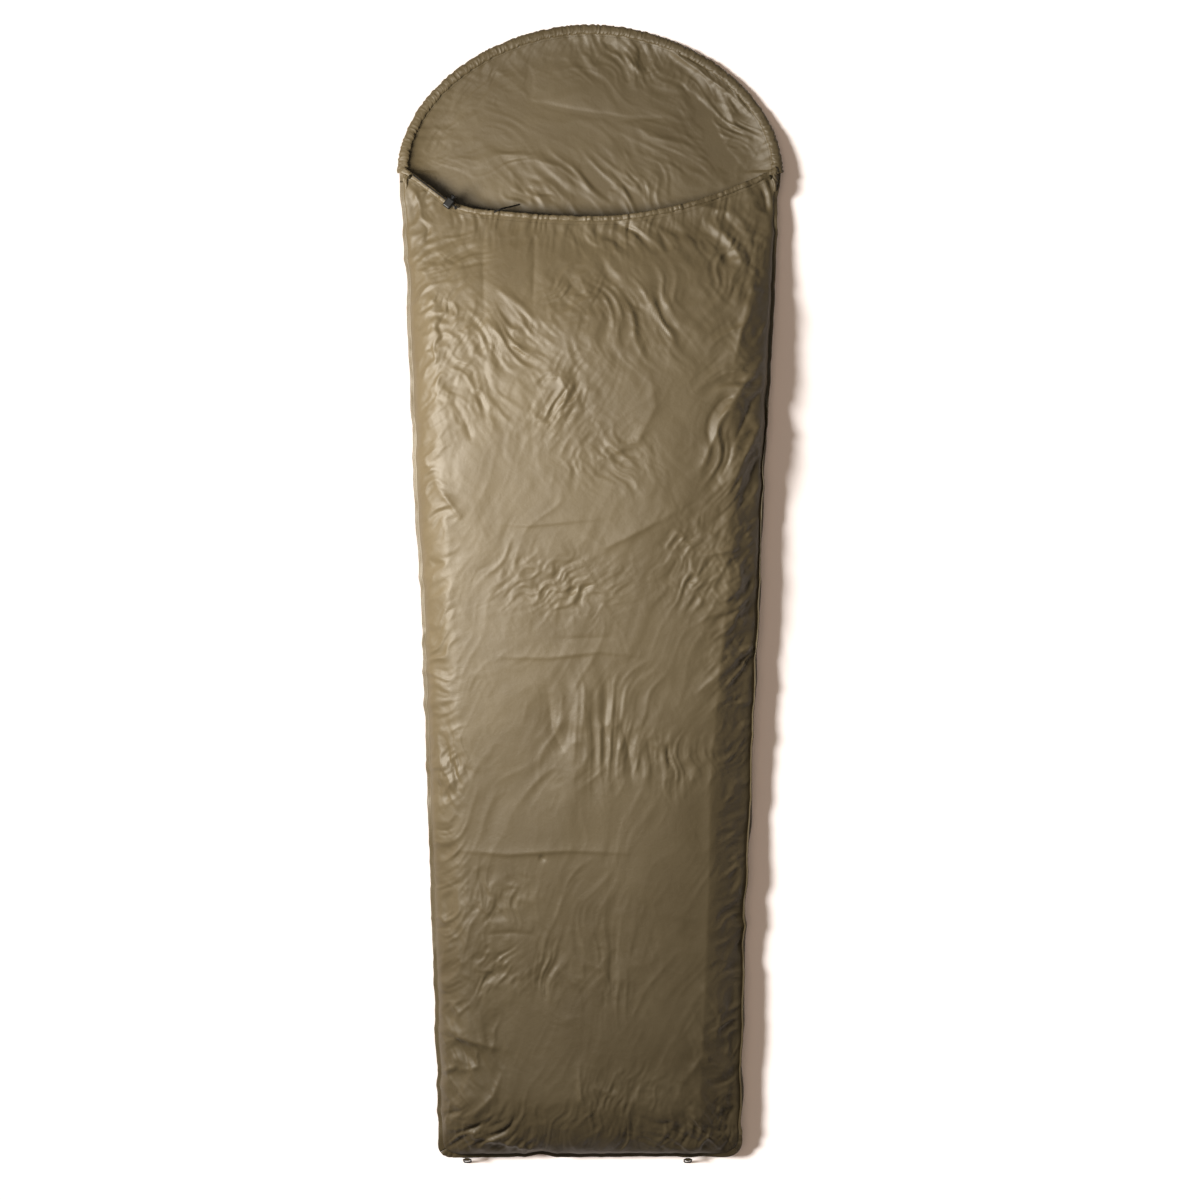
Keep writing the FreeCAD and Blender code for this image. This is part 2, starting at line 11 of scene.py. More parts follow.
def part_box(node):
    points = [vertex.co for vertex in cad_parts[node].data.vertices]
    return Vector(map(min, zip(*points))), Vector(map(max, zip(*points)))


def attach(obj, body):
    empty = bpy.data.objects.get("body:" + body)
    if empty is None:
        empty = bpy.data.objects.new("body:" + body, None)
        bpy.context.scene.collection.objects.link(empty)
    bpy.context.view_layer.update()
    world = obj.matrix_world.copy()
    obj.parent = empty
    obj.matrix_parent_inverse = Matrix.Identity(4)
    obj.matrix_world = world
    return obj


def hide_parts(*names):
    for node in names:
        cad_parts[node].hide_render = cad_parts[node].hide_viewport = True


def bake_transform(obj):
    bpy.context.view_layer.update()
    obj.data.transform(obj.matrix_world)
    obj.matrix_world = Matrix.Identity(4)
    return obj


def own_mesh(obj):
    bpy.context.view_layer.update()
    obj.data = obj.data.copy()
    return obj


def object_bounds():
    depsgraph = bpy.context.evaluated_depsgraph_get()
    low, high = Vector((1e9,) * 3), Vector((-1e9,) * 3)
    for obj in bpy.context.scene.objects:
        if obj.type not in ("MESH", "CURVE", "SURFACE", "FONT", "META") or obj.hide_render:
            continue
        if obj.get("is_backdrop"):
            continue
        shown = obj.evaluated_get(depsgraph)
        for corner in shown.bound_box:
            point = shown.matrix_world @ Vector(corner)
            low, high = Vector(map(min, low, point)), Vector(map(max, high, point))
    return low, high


# Bivy sack: coated nylon shell, gathered hems, drawcord with lock, peg loops. Metres.
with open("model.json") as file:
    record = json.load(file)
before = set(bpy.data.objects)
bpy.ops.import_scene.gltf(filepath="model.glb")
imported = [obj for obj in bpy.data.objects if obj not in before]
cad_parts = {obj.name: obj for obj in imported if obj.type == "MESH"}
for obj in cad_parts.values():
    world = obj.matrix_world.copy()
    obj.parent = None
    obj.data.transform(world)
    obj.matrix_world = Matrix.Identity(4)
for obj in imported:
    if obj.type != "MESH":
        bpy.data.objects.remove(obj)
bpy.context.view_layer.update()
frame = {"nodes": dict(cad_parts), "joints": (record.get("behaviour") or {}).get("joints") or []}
scene = bpy.context.scene

# ---- places, from the frame
hood_joint = next(j for j in frame["joints"] if j["name"] == "hood_fold")
shoulder_y = hood_joint["pos_m"][1]
hinge_z = hood_joint["pos_m"][2]
foot_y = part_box("foot_seam")[0].y
panel_foot_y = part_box("foot_seam")[1].y
seam_width = panel_foot_y - foot_y
seam_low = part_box("side_seam_left")[0].z
seam_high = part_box("side_seam_left")[1].z
crown_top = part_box("top_panel")[1].z
neck_low_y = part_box("neck_drawcord")[0].y
shoulder_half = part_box("base_panel")[1].x
corner_radius = 0.030
foot_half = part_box("foot_seam")[1].x + corner_radius
rim_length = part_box("hood_drawcord")[1].y - shoulder_y
rim_half = shoulder_half
loop_places = [(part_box(n)[0].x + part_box(n)[1].x) / 2 for n in ("peg_loop_left", "peg_loop_right")]

# ---- sizes of the cloth
fabric = 0.0007                # thickness of the coated nylon
taper_power = 1.3
hood_power = 1.9
neck_height = 0.034            # top panel at the shoulder line
foot_height = 0.078            # top panel before it turns down to the foot
rise_length = 0.350
base_roll = 0.074
left_roll, right_roll = 0.062, 0.068     # how far in from the seam the top panel's ridges run
foot_roll = 0.120
roll_power = 1.75
hem_sag = 0.013
steep_power = 1.30             # right side, below its middle: a flatter, steeper flank
crown_sag = 0.22               # share of its height that the top panel loses towards the ridges
grid_step = 0.0032             # of the finished cloth


def smooth(t):
    t = np.clip(t, 0.0, 1.0)
    return t * t * (3 - 2 * t)


def half_width(y):
    """Half width of the panels, inside the seam."""
    t = np.clip((y - foot_y) / (shoulder_y - foot_y), 0.0, None)
    short = np.clip(corner_radius - (y - panel_foot_y), 0.0, corner_radius)
    inset = corner_radius - np.sqrt(corner_radius ** 2 - short ** 2)
    return foot_half + (shoulder_half - foot_half) * t ** taper_power - inset


def crown(y):
    """Height of the top panel's middle line."""
    rise = neck_height + (crown_top - neck_height) * smooth((shoulder_y - y) / rise_length)
    share = (shoulder_y - rise_length - y) / (shoulder_y - rise_length - foot_y)
    fall = crown_top + (foot_height - crown_top) * np.clip(share, 0.0, 1.0)
    return np.where(y > shoulder_y - rise_length, rise, fall)


def rounded(s, power):
    s = np.clip(s, 0.0, 1.0)
    return (1 - s ** power) ** (1 / power)


def top_z(x, y):
    """The top panel's outer surface before it wrinkles."""
    wide = half_width(y)
    right = (right_roll + 0.010 * smooth((y - 0.1) / 0.4)) * (1 + 0.13 * noise(y / 0.19, y * 0 + 7.5, 3))
    roll = np.where(x < 0, left_roll, right) * (1.12 - 0.24 * smooth((y + 0.6) / 1.2))
    side = (np.abs(x) - (wide - roll)) / roll
    foot = (foot_roll - (y - panel_foot_y)) / foot_roll
    steep = smooth(x / 0.05) * smooth((0.45 - y) / 0.5)
    arch = 1 - crown_sag * (1 + 0.35 * steep) * np.clip(np.abs(x) / wide, 0, 1) ** 2
    rise = (crown(y) - seam_high) * arch
    power = roll_power + (steep_power - roll_power) * steep
    return seam_high + rise * rounded(side, power) * rounded(foot, roll_power)


def base_z(x, y):
    """The lower sheet's surface between foot and shoulder."""
    side = np.clip(np.abs(x) - (half_width(y) - base_roll), 0, None) / base_roll
    foot = np.clip(base_roll - (y - panel_foot_y), 0, None) / base_roll
    return 0.0006 + (seam_low - 0.0006) * np.minimum(1.0, np.hypot(side, foot)) ** 2


def rim_drop(y):
    """The hood's hem sinks towards the floor past the shoulder."""
    return hem_sag * smooth((y - shoulder_y - 0.01) / 0.14)


def hood_z(x, y):
    """The lower sheet's surface past the shoulder: flat, turned up to its gathered hem."""
    flat = 1 - base_roll / rim_half
    across = (np.abs(x) / rim_half) ** hood_power
    along = (np.clip(y - shoulder_y, 0, None) / rim_length) ** hood_power
    out = (across + along) ** (1 / hood_power)
    return 0.0006 + (seam_low - rim_drop(y) - 0.0006) * np.clip((out - flat) / (1 - flat), 0, 1) ** 3


# Neckline of the top panel, as shares of the shoulder's half width and of the dip.
neckline_dip = shoulder_y - neck_low_y
neckline = np.array((
    (-1.0, 0.00), (-0.934, 0.16), (-0.84, 0.42), (-0.74, 0.70), (-0.62, 0.84), (-0.47, 0.90),
    (-0.25, 0.97), (-0.02, 1.0), (0.22, 0.955), (0.47, 0.78), (0.62, 0.61),
    (0.74, 0.44), (0.85, 0.27), (0.934, 0.12), (1.0, 0.00),
))


def catmull(points, per_run):
    """Smooth curve through points, with a number of steps between each two."""
    p = np.vstack([2 * points[0] - points[1], points, 2 * points[-1] - points[-2]])
    t = np.linspace(0, 1, per_run, endpoint=False)[:, None]
    out = []
    for a, b, c, d in zip(p, p[1:], p[2:], p[3:]):
        out.append(0.5 * (2 * b + (c - a) * t + (2 * a - 5 * b + 4 * c - d) * t ** 2
                          + (3 * b - a - 3 * c + d) * t ** 3))
    return np.vstack(out + [points[-1:]])


neck_curve = catmull(neckline * (shoulder_half, 1.0), 12)
neck_curve[:, 1] = shoulder_y - neck_curve[:, 1] * neckline_dip


def neck_y(x):
    return np.interp(x, neck_curve[:, 0], neck_curve[:, 1])


# ---- noise
def lattice(seed):
    return np.random.RandomState(seed).uniform(-1, 1, (128, 128))


def noise(x, y, seed):
    """Smooth noise from -1 to 1 with a period of about one unit."""
    table = lattice(seed)
    xi, yi = np.floor(x).astype(int), np.floor(y).astype(int)
    fx, fy = x - xi, y - yi
    ux = fx * fx * fx * (fx * (fx * 6 - 15) + 10)
    uy = fy * fy * fy * (fy * (fy * 6 - 15) + 10)
    a, b = table[xi % 128, yi % 128], table[(xi + 1) % 128, yi % 128]
    c, d = table[xi % 128, (yi + 1) % 128], table[(xi + 1) % 128, (yi + 1) % 128]
    return (a * (1 - ux) + b * ux) * (1 - uy) + (c * (1 - ux) + d * ux) * uy


def turned(x, y, degrees):
    """Coordinates along and across a direction."""
    c, s = math.cos(math.radians(degrees)), math.sin(math.radians(degrees))
    return x * c + y * s, -x * s + y * c


def creased(x, y, degrees, long, short, seed):
    """Long soft folds with sharp crests, from -1 to 1, that run in one direction."""
    wx = x + 0.35 * long * noise(x / long, y / long, seed + 50)
    wy = y + 0.35 * long * noise(x / long, y / long, seed + 51)
    u, v = turned(wx, wy, degrees)
    first = 1 - 2 * np.abs(noise(u / long, v / short, seed))
    second = 1 - 2 * np.abs(noise(u / long * 1.9, v / short * 2.1, seed + 1))
    return 0.7 * first + 0.3 * second - 0.35


def fold(x, y, points, width, height, lean=0.0):
    """One fold along a line of points: sharp at its crest, fading out at both ends."""
    best = np.full(x.shape, 1e9)
    signed = np.zeros(x.shape)
    share = np.zeros(x.shape)
    runs = np.hypot(*np.diff(points, axis=0).T)
    total, done = runs.sum(), 0.0
    for (ax, ay), (bx, by), run in zip(points, points[1:], runs):
        dx, dy = (bx - ax) / run, (by - ay) / run
        t = np.clip((x - ax) * dx + (y - ay) * dy, 0, run)
        px, py = x - ax - dx * t, y - ay - dy * t
        d = np.hypot(px, py)
        near = d < best
        best = np.where(near, d, best)
        signed = np.where(near, dx * py - dy * px, signed)
        share = np.where(near, (done + t) / total, share)
        done += run
    wide = width * np.where(signed > 0, 1 + lean, 1 - lean)
    soft = 0.18
    shape = np.exp(-(np.sqrt((best / wide) ** 2 + soft ** 2) - soft))
    ends = np.sin(np.pi * np.clip(share, 0.02, 0.98)) ** 0.7
    return height * shape * ends


def patch(x, y, place, size, degrees, long, short, height, seed):
    """A crumpled area: creases in one direction that fade out past its size."""
    out = ((x - place[0]) / size[0]) ** 2 + ((y - place[1]) / size[1]) ** 2
    mask = np.exp(-out * 0.9)
    return height * mask * creased(x, y, degrees, long, short, seed)


def patch_rows(first_seed, rows):
    """Crumpled areas in metres, each with its own seed, from rows in degrees and millimetres."""
    out = []
    for seed, (degrees, *row) in enumerate(rows, first_seed):
        x, y, wide, tall, long, short, height = (value / 1000 for value in row)
        out.append(((x, y), (wide, tall), degrees, long, short, height, seed))
    return out


def fold_rows(rows):
    """Single folds in metres from rows in millimetres."""
    return [(np.array(line) / 1000, width / 1000, height / 1000, lean) for width, height, lean, *line in rows]


def relief(x, y, patches, folds):
    """Height of the crumpled areas and single folds together."""
    h = np.zeros(x.shape)
    for row in patches:
        h += patch(x, y, *row)
    for row in folds:
        h += fold(x, y, *row)
    return h


# ---- wrinkles of the top panel
# Crumpled areas, in degrees and mm: direction, middle x and y, size in x and y, a crease's length, width
# and height.
top_patches = patch_rows(11, (
    (-40, 240, 705, 110, 50, 70, 18, 4),
    (-52, 70, 700, 80, 30, 50, 14, 3.6),
    (70, 285, 650, 50, 60, 50, 14, 3.4),
    (20, -275, 670, 70, 40, 60, 11, 3),
    (55, -275, 535, 55, 80, 45, 16, 4.6),
    (-48, -150, 500, 75, 55, 75, 15, 4),
    (40, -20, 590, 60, 45, 40, 14, 3.2),
    (-62, 110, 540, 130, 90, 80, 24, 3.6),
    (-60, -220, 400, 90, 80, 60, 20, 2.8),
    (60, -50, 370, 60, 70, 45, 16, 4.2),
    (-50, 50, 260, 80, 50, 50, 16, 3.2),
    (57, 300, 330, 65, 260, 120, 22, 5.2),
    (35, -50, 20, 110, 55, 35, 13, 3),
    (60, 200, 60, 60, 80, 40, 18, 3.6),
    (48, 290, -80, 55, 170, 70, 21, 4.6),
    (84, 20, -270, 90, 100, 110, 26, 3.4),
    (84, 165, -330, 65, 45, 60, 13, 3),
    (-62, -275, -345, 35, 55, 60, 13, 3.6),
    (82, -190, -600, 65, 60, 50, 12, 2.4),
    (50, -190, -735, 50, 60, 40, 14, 2.8),
    (86, -80, -730, 30, 50, 70, 13, 3),
    (85, 10, -720, 110, 100, 90, 30, 2),
    (-60, -245, -900, 60, 90, 80, 20, 4),
    (70, 60, -980, 80, 50, 40, 13, 2.2),
    (-55, 240, -960, 60, 110, 90, 24, 4),
    (35, -210, -1060, 90, 45, 60, 14, 4.6),
    (-40, 190, -1060, 90, 45, 60, 14, 4),
))
# Single folds, in mm: width, height, lean as a share, points. A height below 0 is a crease.
top_folds = fold_rows((
    (5, -6, 0, (350, 826), (361, 795), (367, 758)),
    (5, -5, 0, (334, 806), (346, 784), (352, 752)),
    (5, 5, 0, (342, 822), (354, 790), (359, 760)),
    (5, 3.6, 0, (-352, 806), (-338, 776), (-330, 752)),
    (8, 5, 0.3, (150, 752), (215, 762), (270, 752), (310, 722)),
    (6, -4.6, 0, (40, 738), (66, 722), (94, 708)),
    (6, -4, 0, (128, 728), (142, 700), (157, 668)),
    (7, 4.8, 0.4, (225, 735), (262, 706), (290, 670), (303, 636)),
    (6, -5, 0, (-331, 735), (-318, 720), (-322, 690)),
    (6, -2, 0, (-210, 742), (-209, 640), (-206, 520)),
    (6, -2, 0, (-108, 735), (-109, 640), (-112, 556)),
    (9, 4, 0.3, (-186, 600), (-155, 577), (-106, 530)),
    (7, 4.2, -0.3, (-206, 540), (-165, 493), (-116, 470)),
    (7, -4.4, 0.2, (-270, 570), (-296, 524), (-284, 490)),
    (10, -3, 0, (22, 660), (44, 600), (90, 560)),
    (9, 5.6, 0.35, (330, 640), (306, 560), (280, 445)),
    (12, 7, 0.4, (354, 480), (310, 428), (256, 340), (216, 240)),
    (9, -6, 0.2, (356, 420), (320, 379), (276, 280)),
    (10, 6, 0.4, (350, 370), (310, 290), (270, 200)),
    (8, -5.5, 0.2, (345, 300), (315, 225), (290, 160)),
    (15, 2.4, -0.45, (112, 450), (128, 365), (94, 300), (22, 262)),
    (6, -3.4, 0, (-245, 345), (-230, 300)),
    (7, 4.4, 0.3, (-100, 420), (-60, 424), (-44, 395), (-60, 345), (-84, 305)),
    (6, 3.6, 0, (22, 305), (60, 275), (102, 240)),
    (7, 4.4, 0.3, (-300, 215), (-276, 180), (-250, 145)),
    (6, 1.8, 0.5, (-190, 138), (-120, 134), (-40, 142), (40, 150)),
    (9, 3, 0.3, (-20, 120), (30, 90), (110, 130), (180, 170)),
    (8, 5.2, 0.4, (210, 75), (258, 82), (320, 100)),
    (6, 1.8, 0.5, (-190, -122), (-80, -124), (20, -112), (112, -122)),
    (6, -1.6, 0, (-70, -88), (48, -84)),
    (10, 4.8, 0.3, (330, -80), (280, -130), (200, -200)),
    (12, -4.4, -0.3, (-80, -190), (-74, -260), (-50, -310)),
    (10, 3, 0.3, (-10, -170), (-14, -240), (-20, -300)),
    (8, -3.4, 0, (60, -240), (78, -320), (84, -370)),
    (6, -3, 0, (112, -280), (118, -330)),
    (6, -3, 0, (150, -290), (156, -345)),
    (7, 5, 0.3, (-300, -300), (-285, -345), (-262, -390)),
    (6, -3.8, 0, (-286, -300), (-268, -340), (-255, -380)),
    (7, 2.2, 0.5, (-265, -500), (-160, -508), (-40, -500), (87, -506)),
    (5, -3, 0, (-100, -512), (-86, -518)),
    (6, -2.2, 0, (-210, -665), (-150, -660), (-110, -665)),
    (10, 4, 0.4, (216, -760), (256, -824), (246, -880)),
    (10, 5, 0.4, (-300, -830), (-262, -865), (-170, -890)),
    (7, -5, 0.2, (-262, -860), (-246, -900), (-236, -930)),
    (9, 4.2, 0.4, (-170, -930), (-190, -980), (-230, -1020)),
    (6, 3.6, 0.3, (-22, -922), (-18, -987), (-2, -1012), (-22, -1037)),
    (8, 7, 0.4, (190, -1000), (220, -1050), (262, -1098)),
    (8, 6, 0.4, (-240, -1060), (-170, -1074), (-100, -1094)),
))


def seam_pull(y, seed):
    """How far the seam is gathered inwards and lifted: scallops between the tight places."""
    wave = np.abs(noise(y / 0.062, y * 0 + 3.5, seed))
    slow = noise(y / 0.21, y * 0 + 9.5, seed + 1)
    return 0.0052 * wave + 0.0016 * slow, 0.0040 * noise(y / 0.09, y * 0 + 1.5, seed + 2)


def top_relief(x, y):
    """Height of all the top panel's wrinkles over its smooth surface."""
    h = relief(x, y, top_patches, top_folds)
    h += 0.0030 * noise(x / 0.13, y / 0.17, 60)
    h += 0.0008 * creased(x, y, 62, 0.10, 0.034, 61)
    h += (0.0002 + 0.0006 * crumpled(x, y)) * creased(x, y, -50, 0.045, 0.014, 62)
    near_side = smooth((np.abs(x) / half_width(y) - 0.72) / 0.2)
    h += 0.0026 * near_side * creased(x, y, 35, 0.045, 0.020, 63)
    near_neck = smooth((y - neck_y(x) + 0.10) / 0.09)
    h += 0.0022 * near_neck * creased(x, y, 80, 0.060, 0.013, 64)
    near_foot = smooth((panel_foot_y + 0.15 - y) / 0.12)
    h += 0.0024 * near_foot * creased(x, y, 80, 0.050, 0.017, 65)
    return h


# ---- wrinkles of the hood and mouth
hood_patches = patch_rows(71, (
    (-62, 60, 1060, 80, 40, 70, 15, 3.6),
    (-52, 170, 1040, 70, 60, 100, 20, 3),
    (-45, -20, 820, 130, 50, 80, 17, 3),
    (-45, -110, 790, 50, 30, 60, 14, 3),
    (-62, 100, 800, 60, 60, 70, 18, 3.4),
    (-50, 270, 930, 60, 80, 80, 18, 3),
    (-30, 200, 870, 80, 40, 70, 18, 2.2),
    (15, -190, 860, 60, 30, 70, 16, 1.6),
))
hood_folds = fold_rows((
    (8, 5.6, 0.3, (132, 1094), (200, 1045), (275, 990), (320, 945)),
    (8, -6, 0, (171, 1020), (216, 970), (241, 921), (275, 842)),
    (8, 2.2, 0.2, (185, 1022), (230, 972), (256, 921), (290, 850)),
    (6, -3.4, 0, (-121, 978), (-37, 958), (72, 941), (151, 943)),
    (6, 0.8, 0, (-121, 984), (-37, 965), (72, 948), (151, 950)),
    (5, -2.6, 0, (-122, 1050), (-120, 1020), (-116, 976)),
    (5, -4.8, 0, (22, 1100), (47, 1072)),
    (6, -4, 0, (50, 1068), (66, 1040), (78, 1012)),
    (6, 4.4, 0.2, (66, 1072), (82, 1050), (104, 1028)),
    (5, -3.6, 0, (92, 1080), (106, 1050), (118, 1030)),
    (8, 3.6, 0.3, (-130, 866), (-60, 846), (0, 800), (37, 772)),
    (6, -4.4, 0, (-17, 852), (10, 818), (37, 783)),
    (7, 4.8, 0.3, (28, 842), (62, 812), (82, 772), (92, 744)),
    (6, -3, 0, (40, 840), (72, 806), (90, 762)),
    (6, 4.2, 0.3, (-126, 812), (-106, 793), (-86, 763)),
    (5, -3.4, 0, (-140, 806), (-118, 784)),
    (8, 2, 0.3, (-225, 847), (-175, 869), (-106, 867)),
    (5, -3, 0, (57, 911), (82, 876)),
    (8, 3, 0.3, (92, 931), (117, 906), (186, 891), (240, 864)),
    (8, 4, 0.3, (260, 990), (285, 931), (320, 896)),
    (7, -3.4, 0, (240, 900), (268, 872), (300, 850)),
))


def rim_place(x, y):
    """For a point of the hood: its share of the way out to the rim, and its angle."""
    across = np.abs(x) / rim_half
    along = np.clip(y - shoulder_y, 0, None) / rim_length
    return (across ** hood_power + along ** hood_power) ** (1 / hood_power), np.arctan2(along, x / rim_half)


def gather(angle, seed):
    """Puckers round the hood's hem, strongest at its top."""
    at = angle * 0.31 / 0.0115
    strength = 0.45 + 0.55 * np.exp(-((angle - 1.65) / 0.35) ** 2)
    strength += 0.25 * np.exp(-((angle - 0.5) / 0.4) ** 2)
    return strength * (1 - 2 * np.abs(noise(at, angle * 0 + 4.5, seed)))


def hood_relief(x, y):
    """Height of the wrinkles of hood and mouth over their smooth surface."""
    h = relief(x, y, hood_patches, hood_folds)
    h += 0.0013 * (1 + noise(x / 0.12, y / 0.10, 80))
    h += 0.0006 * creased(x, y, -25, 0.09, 0.026, 81)
    out, angle = rim_place(x, y)
    short_of_rim = (1 - out) * rim_half
    skewed = angle + 0.35 * short_of_rim / rim_half
    h += 0.0030 * np.exp(-short_of_rim / 0.020) * gather(skewed, 82) * (y > shoulder_y - 0.02)
    h += 0.0012 * np.exp(-short_of_rim / 0.050) * gather(skewed * 0.45, 83) * (y > shoulder_y - 0.02)
    h += 0.0007 * smooth((out - 0.55) / 0.3) * creased(x, y, 50, 0.035, 0.012, 84)
    return h


# ---- meshes
def link(name, mesh):
    obj = bpy.data.objects.new(name, mesh)
    scene.collection.objects.link(obj)
    return obj


def grid_object(name, points, closed_across=False):
    """Mesh of a grid of points, rows first."""
    rows, cols = points.shape[:2]
    index = np.arange(rows * cols).reshape(rows, cols)
    if closed_across:
        index = np.hstack([index, index[:, :1]])
    quads = np.stack([index[:-1, :-1], index[:-1, 1:], index[1:, 1:], index[1:, :-1]], -1).reshape(-1, 4)
    mesh = bpy.data.meshes.new(name)
    mesh.vertices.add(rows * cols)
    mesh.vertices.foreach_set("co", points.reshape(-1).astype(np.float32))
    mesh.loops.add(quads.size)
    mesh.loops.foreach_set("vertex_index", quads.reshape(-1).astype(np.int32))
    mesh.polygons.add(len(quads))
    mesh.polygons.foreach_set("loop_start", np.arange(0, quads.size, 4, dtype=np.int32))
    mesh.update(calc_edges=True)
    mesh.shade_smooth()
    return link(name, mesh)


def unit(vectors):
    """The same directions with length 1, for the last axis."""
    return vectors / np.maximum(np.linalg.norm(vectors, axis=-1, keepdims=True), 1e-12)


def grid_normals(points):
    """Unit normals of a grid of points, upwards where it lies flat."""
    return unit(np.cross(np.gradient(points, axis=1), np.gradient(points, axis=0)))


def distance_along(path):
    return np.concatenate([[0], np.cumsum(np.linalg.norm(np.diff(path, axis=0), axis=1))])


def sampled(rows, at, want):
    """Values of each column at the wanted distances."""
    return np.stack([np.interp(want, at, column) for column in rows.T], 1)


def by_length(curve, count):
    """Points evenly spaced along a dense curve."""
    at = distance_along(curve)
    return sampled(curve, at, np.linspace(0, at[-1], count))


def thicken(obj, thickness):
    """Gives a sheet its thickness, half to each side."""
    m = obj.modifiers.new("thickness", "SOLIDIFY")
    m.thickness = thickness
    m.offset = 0.0
    m.use_even_offset = False


def top_grid(rows, cols):
    """The smooth top panel: evenly spaced along its surface, from foot to neckline and left to right."""
    y = np.linspace(panel_foot_y, neck_low_y, 3000)
    centre = by_length(np.stack([y, top_z(y * 0, y)], 1), rows)[:, 0]
    points = np.zeros((rows, cols, 3))
    s = np.sin(np.linspace(-1, 1, 801) * math.pi / 2)
    for i, row_y in enumerate(centre):
        wide = half_width(row_y)
        dense = np.stack([s * wide, top_z(s * wide, row_y + 0 * s)], 1)
        x = by_length(dense, cols)[:, 0]
        rise = smooth((row_y - 0.25) / (neck_low_y - 0.25)) ** 1.5
        yy = row_y + (neck_y(x) - neck_low_y) * rise
        x = x / wide * half_width(yy)
        points[i] = np.stack([x, yy, top_z(x, yy)], 1)
    return points


def edge_shift(x, y):
    """Gathered seams: how far a point of either sheet moves in x, y and z because of them."""
    share = smooth((np.abs(x) / half_width(y) - 0.80) / 0.20)
    side = np.sign(x)
    pull, lift = np.where(side < 0, seam_pull(y, 91), seam_pull(y, 95))
    corner = smooth((y - shoulder_y + 0.06) / 0.05)
    near_foot = smooth((panel_foot_y + 0.04 - y) / 0.04)
    foot_in, foot_lift = seam_pull(x * 1.3, 99)
    for loop_x in loop_places:
        free = 1 - np.exp(-((x - loop_x) / 0.022) ** 2)
        foot_in, foot_lift = foot_in * free, foot_lift * free
    keep = share * (1 - corner)
    return -side * pull * keep, foot_in * near_foot, lift * keep + foot_lift * near_foot


def shifted(points):
    return points + np.stack(edge_shift(points[..., 0], points[..., 1]), -1)


# ---- cloth simulation of the top panel
def upsample(grid):
    """Twice as fine a grid, through a smooth curve in both directions."""
    for axis in (0, 1):
        g = np.moveaxis(grid, axis, 0)
        padded = np.concatenate([2 * g[:1] - g[1:2], g, 2 * g[-1:] - g[-2:-1]])
        middle = (-padded[:-3] + 9 * padded[1:-2] + 9 * padded[2:-1] - padded[3:]) / 16
        out = np.empty((2 * len(g) - 1,) + g.shape[1:])
        out[0::2] = g
        out[1::2] = middle
        grid = np.moveaxis(out, 0, axis)
    return grid


sim_rows, sim_cols = 151, 61
sim_frames = 26
filler_gap = 0.009             # the air and padding inside end this far under the cloth
slack_least, slack_most = 0.001, 0.016
most_move = 0.016


def simulate(start):
    """Lets a slack sheet settle on what fills the bag. Returns how far each point moved."""
    jitter = np.random.RandomState(5).normal(0, 0.0004, start.shape[:2])
    sheet_points = start + grid_normals(start) * jitter[..., None]
    cloth = grid_object("settling_cloth", sheet_points)
    under = start - grid_normals(start) * filler_gap
    under[..., 2] -= 0.004 * smooth((start[..., 1] - 0.45) / 0.3)
    filler = grid_object("filler", under)
    filler.modifiers.new("collision", "COLLISION")
    filler.collision.thickness_outer = 0.002
    filler.collision.cloth_friction = 12
    held = cloth.vertex_groups.new(name="held")
    index = np.arange(start.shape[0] * start.shape[1]).reshape(start.shape[:2])
    edge = np.unique(np.concatenate([index[0], index[-1], index[:, 0], index[:, -1]]))
    held.add(edge.tolist(), 1.0, "REPLACE")
    slack = cloth.vertex_groups.new(name="slack")
    x, y = start[..., 0], start[..., 1]
    amount = 0.25 + 0.45 * smooth((y - 0.1) / 0.5) + 0.35 * smooth((x - 0.12) / 0.15) * (y > -0.3)
    amount = np.clip(amount + 0.25 * noise(x / 0.2, y / 0.2, 7), 0.02, 1.0)
    for step in range(20):
        chosen = index[(amount >= step / 20) & (amount < (step + 1) / 20)]
        if len(chosen):
            slack.add(chosen.tolist(), (step + 0.5) / 20, "REPLACE")
    modifier = cloth.modifiers.new("cloth", "CLOTH")
    s = modifier.settings
    s.quality = 5
    s.mass = 0.06
    s.tension_stiffness = 20
    s.compression_stiffness = 20
    s.shear_stiffness = 8
    s.bending_stiffness = 0.3
    s.air_damping = 3
    s.vertex_group_mass = "held"
    s.vertex_group_shrink = "slack"
    s.shrink_min = -slack_least
    s.shrink_max = -slack_most
    modifier.collision_settings.distance_min = 0.002
    modifier.collision_settings.use_self_collision = False
    modifier.point_cache.frame_start = 1
    modifier.point_cache.frame_end = sim_frames
    scene.frame_start, scene.frame_end = 1, sim_frames
    for number in range(1, sim_frames + 1):
        scene.frame_set(number)
    settled = cloth.evaluated_get(bpy.context.evaluated_depsgraph_get())
    flat = np.zeros(start.size, np.float32)
    settled.data.vertices.foreach_get("co", flat)
    moved = flat.reshape(start.shape) - start
    scene.frame_set(1)
    bpy.data.objects.remove(cloth)
    bpy.data.objects.remove(filler)
    far = np.linalg.norm(moved, axis=2, keepdims=True)
    return moved * np.minimum(1.0, most_move / np.maximum(far, 1e-9))


def softened(grid, times):
    """Averages each point with its neighbours; the edges stay."""
    for _ in range(times):
        inner = grid[1:-1, 1:-1] * 2 + grid[:-2, 1:-1] + grid[2:, 1:-1]
        inner = (inner + grid[1:-1, 1:-1] * 2 + grid[1:-1, :-2] + grid[1:-1, 2:]) / 8
        grid = grid.copy()
        grid[1:-1, 1:-1] = inner
    return grid


def crumpled(x, y):
    """From 0 where the cloth lies smooth to 1 where it is crumpled."""
    total = np.zeros(x.shape)
    for place, size, *_ in top_patches:
        total += np.exp(-((x - place[0]) / size[0]) ** 2 - ((y - place[1]) / size[1]) ** 2)
    return np.clip(total, 0, 1)


